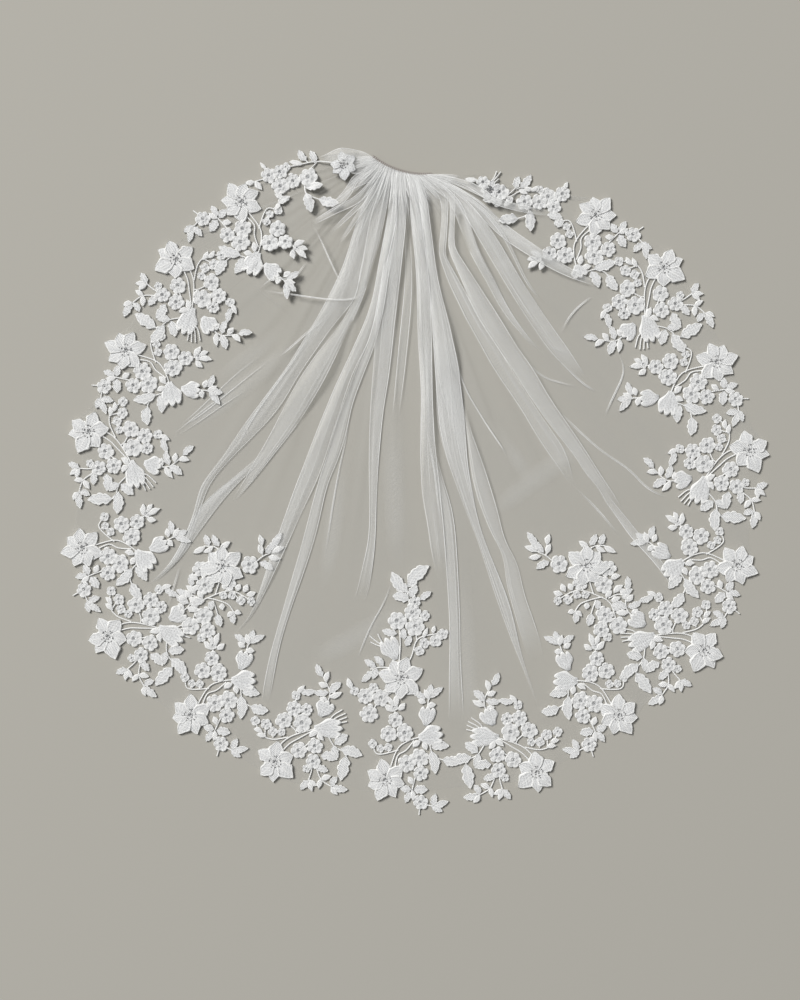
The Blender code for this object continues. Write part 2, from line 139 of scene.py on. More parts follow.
# Room
FLOOR_COLOUR = (0.421, 0.407, 0.368)
FLOOR_HALF = 4.0
WORLD_STRENGTH = 0.25
KEY_PLACE = (-11.6, 9.4, 16.0)
KEY_SIZE = 9.0
KEY_POWER = 5150
CAMERA_HEIGHT = 2.2
CAMERA_AIM = (400, 500)          # the picture's middle
SENSOR = 36


def crease(cover, across, up, places):
    """A fold row for a thin crease: its left edge, and how far off in x and y its right edge is."""
    return 3, 0, cover, [(x, y, x + across, y + up) for x, y in places]


# Folds: flattened tucks that lie on the sheet, as height in mm, inner lines (-1: a soft tuck), how close the
# net is, and from the comb on the places x, y of one edge and x, y of the other.
FOLDS = [
    # left bundle
    (6, 4, 1.25, [
        (382, 169, 386, 172), (370, 190, 380, 191), (360, 212, 372, 213), (352, 238, 367, 239),
        (345, 262, 363, 264), (336, 283, 358, 286), (327, 300, 357, 300), (315, 322, 335, 323),
        (305, 337, 327, 335), (295, 355, 313, 355), (278, 380, 295, 380), (257, 407, 282, 407),
        (238, 433, 257, 433), (220, 462, 227, 462), (202, 482, 211, 482), (198, 498, 204, 497),
        (192, 520, 197, 520), (184, 537, 189, 539), (175, 557, 179, 560), (160, 575, 162, 577),
        (148, 584, 149, 585),
    ]),
    (6, 4, 1.0, [
        (386, 172, 390, 174), (380, 195, 390, 196), (372, 213, 384, 222), (367, 240, 380, 245),
        (363, 265, 373, 266), (358, 288, 366, 291), (350, 310, 358, 310), (335, 332, 348, 332),
        (318, 353, 338, 353), (300, 378, 327, 378), (288, 400, 313, 400), (275, 425, 298, 425),
        (263, 448, 279, 448), (252, 465, 266, 465), (246, 478, 254, 480), (239, 489, 244, 491),
        (232, 501, 234, 503),
    ]),
    (3, 3, 1.8, [
        (266, 448, 270, 450), (250, 465, 256, 467), (222, 486, 241, 480), (201, 505, 224, 499),
        (192, 520, 208, 520), (183, 540, 197, 535), (174, 558, 184, 554), (166, 570, 175, 565),
        (150, 582, 152, 584),
    ]),
    (3, 0, 1.0, [(180, 564, 181.5, 564), (176, 578, 177.5, 578), (167, 608, 168, 609)]),
    crease(1.0, 1, 1, [(310, 334), (300, 352), (273, 387), (248, 423), (233, 453)]),
    crease(1.0, 1, 1, [(334, 312), (308, 330), (292, 347), (278, 357)]),
    # second bundle
    (6, 3, 1.15, [
        (393, 173, 397, 174), (390, 195, 398, 196), (388, 215, 397, 216), (384, 238, 393, 239),
        (380, 258, 388, 260), (376, 280, 385, 281), (373, 298, 381, 298), (365, 323, 373, 328),
        (355, 343, 367, 347), (347, 362, 358, 362), (335, 387, 348, 387), (327, 407, 342, 407),
        (317, 430, 334, 430), (307, 457, 326, 457), (297, 482, 317, 482), (288, 507, 304, 507),
        (278, 535, 292, 535), (270, 560, 280, 560), (264, 578, 272, 578), (256, 602, 261, 600),
        (248, 620, 251, 618), (231, 637, 232, 638),
    ]),
    (6, 3, 1.15, [
        (397, 174, 401, 175), (392, 215, 398, 216), (387, 245, 394, 246), (383, 270, 389, 271),
        (379, 296, 386, 297), (374, 323, 381, 323), (367, 347, 374, 347), (358, 363, 368, 363),
        (347, 393, 356, 393), (340, 413, 350, 413), (333, 433, 347, 433), (327, 457, 339, 457),
        (322, 470, 334, 470), (317, 487, 326, 487), (308, 520, 320, 520), (300, 552, 311, 552),
        (290, 584, 299, 586), (282, 614, 289, 614), (274, 640, 281, 640), (267, 668, 275, 668),
        (263, 692, 271, 694), (262, 702, 268, 703),
    ]),
    crease(0.8, 1, 0, [(350, 413), (346, 435), (341, 460), (335, 488), (330, 520), (324, 560)]),
    (6, 2, 1.15, [
        (401, 175, 405, 176), (399, 205, 407, 205), (394, 235, 405, 235), (387, 262, 402, 262),
        (380, 290, 399, 290), (376, 322, 395, 324), (375, 347, 392, 350), (372, 382, 389, 380),
        (370, 413, 383, 410), (369, 447, 380, 447), (369, 480, 377, 480), (370, 520, 376, 520),
        (368, 545, 375, 546), (362, 568, 372, 570), (358, 588, 369, 590), (353, 602, 364, 602),
    ]),
    (3, 0, 0.5, [
        (404, 230, 409, 230), (406, 262, 412, 262), (404, 300, 412, 300), (399, 340, 408, 340),
        (396, 380, 404, 380), (392, 420, 398, 420),
    ]),
    # centre bundle
    (7, 4, 1.8, [
        (409, 176, 414, 177), (410, 195, 419, 196), (410, 217, 421, 218), (413, 238, 424, 239),
        (415, 262, 427, 263), (417, 287, 430, 287), (417, 313, 431, 313), (418, 347, 432, 345),
        (421, 380, 432, 380), (421, 413, 433, 413), (421, 447, 434, 447), (423, 480, 434, 480),
    ]),
    (6, 2, 1.0, [
        (417, 313, 431, 313), (418, 347, 432, 345), (421, 380, 432, 380), (421, 413, 433, 413),
        (420, 447, 435, 447), (421, 480, 439, 480), (423, 503, 441, 500), (427, 520, 443, 520),
        (430, 544, 445, 544), (433, 560, 446, 560), (438, 580, 447, 580),
    ]),
    (5, 2, 1.1, [
        (428, 445, 434, 445), (434, 472, 440, 472), (440, 500, 450, 500), (444, 530, 456, 530),
        (447, 580, 458, 580), (449, 610, 460, 610), (450, 640, 460, 640), (449, 670, 461, 670),
        (449, 700, 463, 700), (449, 724, 464, 724),
    ]),
    crease(1.0, 1, 0, [(424, 422), (430, 447), (434, 472), (437, 500), (441, 530)]),
    (7, 4, 1.75, [
        (414, 177, 419, 178), (419, 195, 427, 196), (421, 217, 429, 218), (424, 238, 432, 239),
        (427, 262, 435, 263), (430, 287, 439, 287), (431, 313, 446, 311), (433, 345, 452, 338),
        (435, 370, 458, 363), (437, 395, 461, 383), (439, 428, 463, 422), (448, 463, 467, 460),
        (460, 494, 471, 491),
    ]),
    (6, 4, 1.2, [
        (431, 313, 446, 311), (433, 345, 452, 338), (435, 370, 458, 363), (436, 395, 461, 383),
        (437, 425, 465, 421), (443, 447, 467, 450), (448, 463, 468, 465), (457, 487, 471, 490),
        (467, 515, 477, 514), (474, 530, 480, 528), (484, 560, 491, 558), (494, 592, 504, 588),
        (504, 620, 514, 618), (516, 652, 520, 652), (528, 680, 530, 680), (536, 706, 538, 706),
    ]),
    (5, 0, 1.1, [
        (431, 340, 452, 338), (438, 377, 459, 375), (444, 403, 463, 403), (450, 417, 464, 417),
        (458, 443, 466, 443), (463, 468, 468, 468), (470, 495, 473, 495), (474, 520, 478, 520),
    ]),
    (5, 2, 0.9, [
        (462, 400, 464, 400), (465, 420, 468, 424), (468, 445, 476, 446), (470, 465, 483, 464),
        (474, 487, 490, 487), (480, 506, 496, 505), (488, 526, 501, 526), (496, 543, 506, 545),
        (504, 556, 518, 562), (505, 580, 521, 582), (511, 600, 527, 603), (518, 626, 536, 626),
        (524, 645, 541, 645), (530, 662, 545, 662),
    ]),
    (3, 0, 1.5, [
        (452, 345, 453, 345), (461, 383, 462, 383), (473, 403, 474, 403), (487, 427, 488, 427),
        (500, 445, 501, 445), (506, 455, 506.5, 455),
    ]),
    # kinked pair and what follows it
    (7, 2, 1.0, [
        (436, 192, 446, 191), (440, 200, 448, 199), (442, 212, 448, 211), (441, 228, 447, 228),
        (439, 245, 446, 245), (439, 256, 445, 255), (442, 264, 448, 261), (448, 283, 458, 279),
        (457, 300, 468, 297), (465, 318, 477, 315), (472, 330, 486, 330), (483, 350, 500, 350),
        (498, 377, 516, 377), (517, 402, 532, 402), (533, 430, 551, 430), (543, 446, 560, 442),
        (553, 460, 567, 456), (563, 474, 571, 471), (573, 487, 575, 488),
    ]),
    (3, 0, 1.0, [(573, 486, 574, 486), (585, 498, 586, 497), (601, 514, 602, 513), (618, 536, 619, 535)]),
    (7, 2, 1.0, [
        (446, 190, 454, 188), (449, 200, 455, 198), (450, 212, 455, 211), (449, 228, 454, 228),
        (448, 245, 454, 245), (449, 253, 456, 252), (454, 265, 463, 263), (462, 283, 475, 281),
        (470, 303, 487, 300), (478, 320, 499, 318), (493, 342, 512, 340), (501, 355, 522, 355),
        (511, 368, 532, 368), (523, 388, 543, 388), (538, 410, 557, 410), (557, 435, 575, 435),
        (578, 460, 592, 461), (584, 474, 600, 474), (598, 486, 608, 486), (606, 504, 618, 501),
        (614, 515, 624, 513),
    ]),
    (5, 0, 1.2, [
        (596, 484, 600, 483), (606, 504, 612, 502), (618, 518, 625, 515), (630, 538, 638, 534),
        (645, 552, 652, 548), (660, 570, 665, 566), (673, 588, 674, 587),
    ]),
    crease(1.0, 1, -1, [
        (557, 410), (568, 422), (588, 440), (607, 457), (628, 468), (640, 483), (653, 493), (668, 498),
    ]),
    (3, 0, 0.9, [
        (524, 358, 525, 358), (532, 368, 533, 368), (543, 378, 544, 377), (555, 382, 556, 381),
        (575, 387, 576, 386),
    ]),
    # right bundle
    (5, 2, 1.0, [
        (428, 178, 431, 178), (446, 197, 454, 194), (455, 215, 465, 211), (463, 238, 472, 233),
        (473, 262, 480, 257), (487, 283, 493, 277), (497, 303, 502, 298), (510, 322, 514, 318),
        (519, 331, 522, 328), (530, 345, 532, 343), (541, 352, 542, 351),
    ]),
    (6, 4, 1.0, [
        (430, 178, 433, 178), (445, 190, 450, 187), (457, 204, 464, 198), (467, 221, 478, 214),
        (478, 240, 493, 234), (490, 260, 507, 256), (502, 280, 520, 280), (521, 310, 541, 310),
        (534, 329, 554, 330), (546, 347, 567, 347), (556, 358, 573, 357), (570, 373, 583, 372),
        (580, 383, 587, 378),
    ]),
    crease(0.9, 1, -1, [(553, 354), (570, 373), (585, 387), (596, 392)]),
    crease(0.8, 1, -1, [(546, 346), (560, 350), (573, 357)]),
    (3, 0, 0.8, [
        (431, 178, 433, 178), (462, 196, 464, 194), (486, 216, 488, 213), (504, 240, 506, 238),
        (516, 264, 518, 262), (528, 288, 529, 286), (543, 303, 544, 302),
    ]),
    (5, 2, 1.3, [
        (433, 178, 434, 177), (456, 194, 460, 189), (474, 211, 481, 203), (497, 235, 501, 222),
        (519, 251, 524, 239), (537, 262, 541, 251), (556, 273, 559, 263), (582, 283, 584, 277),
        (600, 287, 601, 285),
    ]),
    (4, 2, 0.9, [
        (434, 177, 436, 176), (456, 183, 458, 179), (472, 190, 476, 185), (487, 203, 491, 197),
        (503, 209, 505, 203), (520, 213, 521, 206), (534, 215, 535, 209), (550, 216, 551, 212),
    ]),
    crease(0.9, 1, -1, [(434, 178), (455, 185), (480, 197), (498, 208)]),
    (3, 0, 0.9, [(433, 178, 434, 178), (458, 190, 459, 189), (480, 204, 481, 203), (501, 222, 502, 221)]),
    # left fan and the net over the first spray
    (5, 3, 0.9, [
        (374, 160, 378, 164), (366, 153, 370, 170), (356, 151, 362, 176), (344, 149, 351, 176),
        (334, 151, 341, 168), (326, 155, 331, 164), (318, 158, 321, 163),
    ]),
    (4, 2, 0.5, [
        (376, 163, 380, 167), (364, 173, 367, 178), (354, 176, 358, 182), (349, 186, 355, 190),
        (341, 197, 348, 202), (330, 206, 336, 210), (320, 214, 323, 217),
    ]),
    (4, 0, 0.5, [
        (377, 166, 380, 168), (371, 177, 374, 182), (361, 181, 363, 186), (351, 186, 353, 191),
        (340, 196, 342, 200),
    ]),
    (5, 2, 0.6, [
        (381, 168, 384, 171), (366, 188, 370, 194), (353, 200, 358, 206), (339, 207, 342, 213),
        (322, 216, 324, 221), (311, 223, 312, 226),
    ]),
    (4, 0, 0.5, [
        (382, 170, 384, 172), (367, 195, 370, 197), (357, 207, 360, 210), (344, 219, 347, 222),
        (328, 235, 329, 237),
    ]),
    (4, 0, 0.5, [
        (383, 171, 385, 173), (366, 202, 370, 205), (356, 216, 360, 218), (346, 232, 349, 234),
        (338, 245, 339, 246),
    ]),
    (4, 0, 0.5, [(384, 172, 386, 173), (368, 212, 370, 213), (361, 228, 363, 229), (354, 248, 355, 249)]),
    (3, 0, 0.5, [(376, 166, 378, 168), (358, 184, 360, 186), (336, 202, 338, 204), (314, 216, 315, 217)]),
    # creases in the open net
    crease(0.9, 1, 0, [(312, 224), (322, 243), (333, 270), (343, 287)]),
    (3, 0, 0.9, [
        (262, 291, 262, 292), (290, 294, 290, 295), (323, 300, 323, 301), (352, 301, 352, 302),
        (361, 295, 362, 296),
    ]),
    (3, 0, 0.8, [
        (258, 291, 258, 292), (268, 281, 268, 282), (279, 277, 279, 279), (290, 282, 291, 284),
        (299, 272, 300, 273), (307, 261, 308, 262),
    ]),
    crease(0.8, 1, 1, [(246, 280), (262, 292), (280, 307), (288, 316)]),
    (3, 0, 0.5, [
        (268, 350, 276, 356), (240, 370, 248, 377), (218, 391, 224, 397), (194, 414, 198, 418),
        (182, 424, 183, 426),
    ]),
    (3, 0, 0.5, [(248, 381, 252, 387), (220, 397, 226, 403), (198, 414, 203, 420), (172, 436, 174, 438)]),
    crease(1.0, 1, 0, [(391, 580), (386, 600), (374, 618), (364, 640), (358, 657)]),
    (3, 2, 1.6, [(560, 333, 561, 334), (567, 318, 568, 319), (580, 304, 581, 305), (592, 296, 593, 297)]),
    (3, 2, 1.6, [
        (617, 354, 618, 354), (625, 366, 626, 366), (620, 382, 621, 383), (612, 397, 613, 398),
        (604, 416, 605, 417),
    ]),
    # soft tucks of the open net
    (3, -1, 0.5, [(284, 316, 296, 330), (262, 336, 274, 350), (238, 354, 250, 370), (210, 376, 222, 390)]),
    (3, -1, 0.5, [
        (302, 330, 310, 342), (272, 350, 284, 366), (240, 378, 252, 394), (206, 406, 218, 420),
        (182, 424, 188, 432),
    ]),
    (3, -1, 0.5, [
        (592, 428, 600, 444), (570, 440, 580, 460), (548, 454, 560, 476), (524, 472, 536, 494),
        (503, 490, 512, 512), (488, 506, 494, 518),
    ]),
    (3, -1, 0.5, [(482, 420, 496, 414), (498, 446, 514, 440), (512, 468, 530, 462), (526, 490, 538, 486)]),
    (3, -1, 0.5, [
        (402, 594, 408, 606), (380, 610, 388, 628), (354, 624, 366, 646), (328, 638, 338, 662),
        (304, 654, 310, 670),
    ]),
    (3, -1, 0.5, [
        (450, 560, 470, 560), (453, 600, 474, 600), (456, 650, 478, 650), (458, 700, 480, 700),
        (462, 730, 476, 730),
    ]),
    (3, -1, 0.5, [
        (384, 380, 402, 380), (382, 430, 404, 430), (382, 480, 406, 480), (384, 530, 408, 530),
        (388, 570, 404, 570),
    ]),
    (3, -1, 0.5, [
        (336, 440, 352, 440), (330, 480, 350, 480), (324, 520, 346, 520), (320, 560, 340, 560),
        (316, 590, 330, 590),
    ]),
]

# Slits between folds, where only a thin net lies: half width, and x, y along the middle.
SLITS = [
    (5.0, [(431, 204), (433, 216), (434, 228), (436, 244)]),
    (2.6, [(392, 204), (387, 216), (380, 243), (374, 264), (367, 288)]),
    (2.6, [(410, 225), (408, 245), (405, 268), (403, 288)]),
    (5.0, [(460, 218), (463, 236), (468, 252)]),
    (3.0, [(352, 322), (340, 352), (328, 380), (312, 406), (298, 424)]),
]


def smooth(value):
    """0 to 1 with soft ends."""
    value = min(1.0, max(0.0, value))
    return value * value * (3 - 2 * value)


def table_value(table, place, ease=lambda share: share):
    """In-between value of a two-column table."""
    place = min(table[-1][0], max(table[0][0], place))
    for (start, first), (end, second) in zip(table, table[1:]):
        if place <= end:
            break
    return first + (second - first) * ease((place - start) / (end - start))


def spot(x, y):
    """Metres on the floor for a place in the picture."""
    return Vector(((x - MIDDLE[0]) * UNIT - LAID_MIDDLE[0], (MIDDLE[1] - y) * UNIT - LAID_MIDDLE[1]))


def hash_value(*seeds):
    """A fixed number from 0 to 1 for these seeds."""
    total = sum((index + 1.37) * seed * 12.9898 for index, seed in enumerate(seeds))
    return math.modf(abs(math.sin(total) * 43758.5453))[0]


def curve_points(points, steps):
    """Catmull-Rom curve through points of any dimension, with that many steps between two."""
    padded = [points[0]] + list(points) + [points[-1]]
    made = []
    for before, start, end, after in zip(padded, padded[1:], padded[2:], padded[3:]):
        for step in range(steps):
            t = step / steps
            made.append(tuple(
                b + 0.5 * t * (c - a + t * (2 * a - 5 * b + 4 * c - d + t * (3 * b - a - 3 * c + d)))
                for a, b, c, d in zip(before, start, end, after)
            ))
    made.append(tuple(points[-1]))
    return made


def evened(places):
    """The same run of places with its small wobbles taken out; its ends stay."""
    for _ in range(2):
        made = []
        for index in range(len(places)):
            reach = min(EVENING, index, len(places) - 1 - index)
            near = places[index - reach:index + reach + 1]
            made.append(tuple(sum(values) / len(near) for values in zip(*near)))
        places = made
    return places


def comb_point(share, outward=0.0):
    """A place on the stitched line, from the comb's left end to its right, moved off away from the veil."""
    along = Vector((math.cos(COMB_TURN), math.sin(COMB_TURN)))
    veil_side = Vector((along.y, -along.x))
    radius = (COMB_HALF_SPAN ** 2 + COMB_BOW ** 2) / (2 * COMB_BOW)
    centre = COMB_MIDDLE - veil_side * (radius - COMB_BOW)
    angle = (2 * share - 1) * math.asin(COMB_HALF_SPAN / radius)
    return centre + (along * math.sin(angle) + veil_side * math.cos(angle)) * (radius - outward)


class Mesh:
    """Points, faces, cloth coordinates and how close the threads are at each point, for one object."""

    def __init__(self):
        self.points = []
        self.faces = []
        self.marks = []
        self.closeness = []

    def grid(self, rows, marks, closed=False, closeness=None):
        """Quads between rows of points; closed joins the last column to the first."""
        first = len(self.points)
        width = len(rows[0])
        for r, (row, row_marks) in enumerate(zip(rows, marks)):
            self.points.extend(row)
            self.marks.extend(row_marks)
            self.closeness.extend(closeness(r) if closeness else [1.0] * width)
        for r in range(len(rows) - 1):
            for c in range(width if closed else width - 1):
                d = (c + 1) % width
                a = first + r * width
                self.faces.append((a + c, a + d, a + width + d, a + width + c))

    def build(self, name, material):
        """The object of this mesh, in the scene."""
        data = bpy.data.meshes.new(name)
        data.from_pydata([tuple(point) for point in self.points], [], self.faces)
        layer = data.uv_layers.new(name="cloth")
        corners = [0] * len(data.loops)
        data.loops.foreach_get("vertex_index", corners)
        layer.data.foreach_set("uv", [value for corner in corners for value in self.marks[corner]])
        give_values(data, "closeness", self.closeness)
        data.materials.append(material)
        data.shade_smooth()
        data.update()
        made = bpy.data.objects.new(name, data)
        bpy.context.scene.collection.objects.link(made)
        return made


def give_values(data, name, values):
    """A named value at each point of a mesh, which its material reads."""
    data.attributes.new(name, "FLOAT", "POINT").data.foreach_set("value", values)


def tree_of(names):
    """The solids of these nodes as one surface for measuring heights."""
    points, faces = [], []
    for name in names:
        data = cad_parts[name].data
        first = len(points)
        points += [vert.co.copy() for vert in data.vertices]
        faces += [[first + index for index in face.vertices] for face in data.polygons]
    return BVHTree.FromPolygons(points, faces)


NET_TREE = tree_of(["tulle"])
LACE_TREE = tree_of(sorted(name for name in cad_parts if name.startswith("applique_")))


def top_of(tree, x, y):
    """The uppermost point of a surface over a place, or None beside it."""
    return tree.ray_cast(Vector((x, y, RAY_HEIGHT)), DOWN)[0]


def net_height(place):
    """Where the sheet lies: just under the top of the solid net, or near the floor beside it."""
    hit = top_of(NET_TREE, *place)
    return (hit.z if hit else 1.0 * MM) - 0.3 * MM


# Materials

def node(tree, kind, inputs=None, **settings):
    """A shader node with its settings; its inputs are values, or outputs of other nodes."""
    made = tree.nodes.new(kind)
    for name, value in settings.items():
        setattr(made, name, value)
    for name, value in (inputs or {}).items():
        if isinstance(value, bpy.types.NodeSocket):
            tree.links.new(value, made.inputs[name])
        else:
            made.inputs[name].default_value = value
    return made


def plain_material(name, colour, roughness, sheen=0.0):
    """A material of one colour."""
    made = bpy.data.materials.new(name)
    made.use_nodes = True
    shader = made.node_tree.nodes["Principled BSDF"]
    shader.inputs["Base Color"].default_value = (*colour, 1)
    shader.inputs["Roughness"].default_value = roughness
    shader.inputs["Sheen Weight"].default_value = sheen
    shader.inputs["Specular IOR Level"].default_value = 0.25
    return made


def mixed(tree, share, first, second):
    """The colour between two others, each a colour or the output of a node."""
    colours = [value if isinstance(value, bpy.types.NodeSocket) else (*value, 1) for value in (first, second)]
    made = node(tree, "ShaderNodeMix", {"Factor": share, "A": colours[0], "B": colours[1]}, data_type="RGBA")
    return made.outputs["Result"]


def product(tree, first, second, **settings):
    """Two node outputs, multiplied."""
    made = node(tree, "ShaderNodeMath", {0: first, 1: second}, operation="MULTIPLY", **settings)
    return made.outputs["Value"]


def point_value(tree, name):
    """What give_values() gave the mesh."""
    return node(tree, "ShaderNodeAttribute", attribute_name=name).outputs["Fac"]


def tulle_material():
    """Fine net: threads round small cells, worked out from the cloth's own coordinates."""
    made = plain_material("tulle_net", NET_WHITE, 0.8, 0.1)
    made.surface_render_method = "BLENDED"
    tree = made.node_tree
    shader = tree.nodes["Principled BSDF"]
    cloth = node(tree, "ShaderNodeUVMap", uv_map="cloth").outputs["UV"]
    cells = node(
        tree, "ShaderNodeTexVoronoi", {"Vector": cloth, "Scale": NET_CELLS, "Randomness": 0.5},
        voronoi_dimensions="2D", feature="DISTANCE_TO_EDGE",
    )
    threads = node(tree, "ShaderNodeMapRange", {
        "Value": cells.outputs["Distance"], "From Min": 0.05, "From Max": 0.22,
        "To Min": THREAD_SHARE, "To Max": CELL_SHARE,
    })
    patches = node(tree, "ShaderNodeTexNoise", {"Vector": cloth, "Scale": NET_PATCHES}, noise_dimensions="2D")
    uneven = node(tree, "ShaderNodeMapRange", {"Value": patches.outputs["Fac"], "To Min": 0.8, "To Max": 1.2})
    net = product(tree, threads.outputs["Result"], uneven.outputs["Result"])
    cover = product(tree, net, point_value(tree, "closeness"), use_clamp=True)
    # Painted shade: the open sheet's net is tinted darker, while the tucks and the net at the comb keep the
    # white
    tint = mixed(tree, point_value(tree, "unshaded_share"), NET_PAINTED_SHADE, NET_WHITE)
    tree.links.new(tint, shader.inputs["Base Color"])
    tree.links.new(cover, shader.inputs["Alpha"])
    return made


def lace_material():
    """Matt white thread: close satin cords round sparser, pitted fillings."""
    made = plain_material("lace_thread", LACE_THREAD, 0.75, 0.15)
    tree = made.node_tree
    shader = tree.nodes["Principled BSDF"]
    cloth = node(tree, "ShaderNodeUVMap", uv_map="cloth").outputs["UV"]
    stitches = node(
        tree, "ShaderNodeTexWave", {"Vector": cloth, "Scale": 210, "Distortion": 1.2, "Detail Scale": 200},
        wave_type="BANDS", bands_direction="DIAGONAL",
    )
    raised = {"Height": stitches.outputs["Fac"], "Strength": 0.6, "Distance": 0.0007}
    bump = node(tree, "ShaderNodeBump", raised)
    pits = node(
        tree, "ShaderNodeTexVoronoi", {"Vector": cloth, "Scale": 380}, voronoi_dimensions="2D", feature="F1",
    )
    pitted = node(tree, "ShaderNodeMapRange", {
        "Value": pits.outputs["Distance"], "From Min": 0.15, "From Max": 0.55,
    })
    filling = mixed(tree, pitted.outputs["Result"], LACE_PIT, LACE_FILLING)
    tint = mixed(tree, point_value(tree, "closeness"), filling, LACE_CORD)
    tree.links.new(bump.outputs["Normal"], shader.inputs["Normal"])
    tree.links.new(tint, shader.inputs["Base Color"])
    return made


# Tulle

def hem_point(bearing, flowers):
    """A place on the hem, with a scallop round each edge flower."""
    angle = math.radians(bearing)
    oval = Vector((OVAL[0] * math.sin(angle), -OVAL[1] * math.cos(angle))) * table_value(HEM, bearing, smooth)
    place = oval - Vector(LAID_MIDDLE)
    outward = Vector((math.sin(angle), -math.cos(angle)))
    bulge = 0.0
    for flower in flowers:
        gap = place - flower
        across = abs(gap.dot(Vector((-outward.y, outward.x))))
        if gap.length < SCALLOP_REACH:
            reach = flower.dot(outward) - place.dot(outward) + SCALLOP_MARGIN
            bulge = max(bulge, max(0.0, reach) * (1 - smooth((across - 0.014) / 0.024)))
    return place + outward * min(bulge, SCALLOP_LIMIT)


def trimmed_hem(flowers):
    """The hem, cut back to the outer edge of the lace."""
    bearings = [table_value(STITCHES, c / NET_COLUMNS) for c in range(NET_COLUMNS + 1)]
    hem = [hem_point(bearing, flowers) for bearing in bearings]
    shares = []
    for place in hem:
        share = 1.0
        while share > TRIM_LIMIT and not top_of(LACE_TREE, place.x * share, place.y * share):
            share -= TRIM_STEP
        shares.append(share if share > TRIM_LIMIT else 0.0)
    open_to = [max(shares[max(0, c - TRIM_SPREAD):c + TRIM_SPREAD + 1]) for c in range(len(shares))]
    made = []
    for c, place in enumerate(hem):
        near = open_to[max(0, c - TRIM_SPREAD):c + TRIM_SPREAD + 1]
        made.append(place * min(1.0, (sum(near) / len(near) or 1.0) - TRIM_MARGIN))
    return made


def sheet_rows(flowers):
    """The single sheet, gathered at the comb and flat at the hem."""
    rows, marks = [], []
    stitched = [comb_point(c / NET_COLUMNS) for c in range(NET_COLUMNS + 1)]
    hem = trimmed_hem(flowers)
    for r in range(NET_ROWS + 1):
        share = (r / NET_ROWS) ** ROW_CROWDING
        row, row_marks = [], []
        for c in range(NET_COLUMNS + 1):
            start, end = stitched[c], hem[c]
            place = start.lerp(end, share)
            run = (end - start).length * share
            phase = c / NET_COLUMNS * GATHERS * 2 * math.pi
            strength = 0.6 + 0.8 * hash_value(int(c / NET_COLUMNS * GATHERS), 3)
            swell = smooth(run / RUFFLE_START) * (1 - smooth((run - RUFFLE_START) / RUFFLE_FADE))
            ruffle = 0.5 + 0.5 * math.sin(phase + 1.5 * noise.noise(Vector((c * 0.05, share * 2, 0))))
            soft = noise.noise(Vector((place.x * SWELL_SCALE, place.y * SWELL_SCALE, 4.0)))
            edge = min(1.0, (1 - share) * 12)
            height = net_height(place) + 0.6 * MM + RUFFLE_HEIGHT * swell * strength * ruffle
            height += max(0.0, soft) * SWELL_HEIGHT * edge
            row.append(Vector((place.x, place.y, height)))
            row_marks.append((c / NET_COLUMNS * SHEET_WIDTH, run))
        rows.append(row)
        marks.append(row_marks)
    return rows, marks


def sheet_closeness(row):
    """The sheet's closeness along one row: soft streaks that run down it, and more near the comb."""
    made = []
    for column in range(NET_COLUMNS + 1):
        streak = noise.noise(Vector((column * 0.11, row * 0.016, 1.0)))
        streak += noise.noise(Vector((column * 0.035, row * 0.05, 6.0)))
        at_comb = COMB_SHARE * (1 - smooth(row / 17)) * (1 + 0.25 * streak)
        made.append(SHEET_SHARE * (1 + 0.7 * streak) + at_comb)
    return made


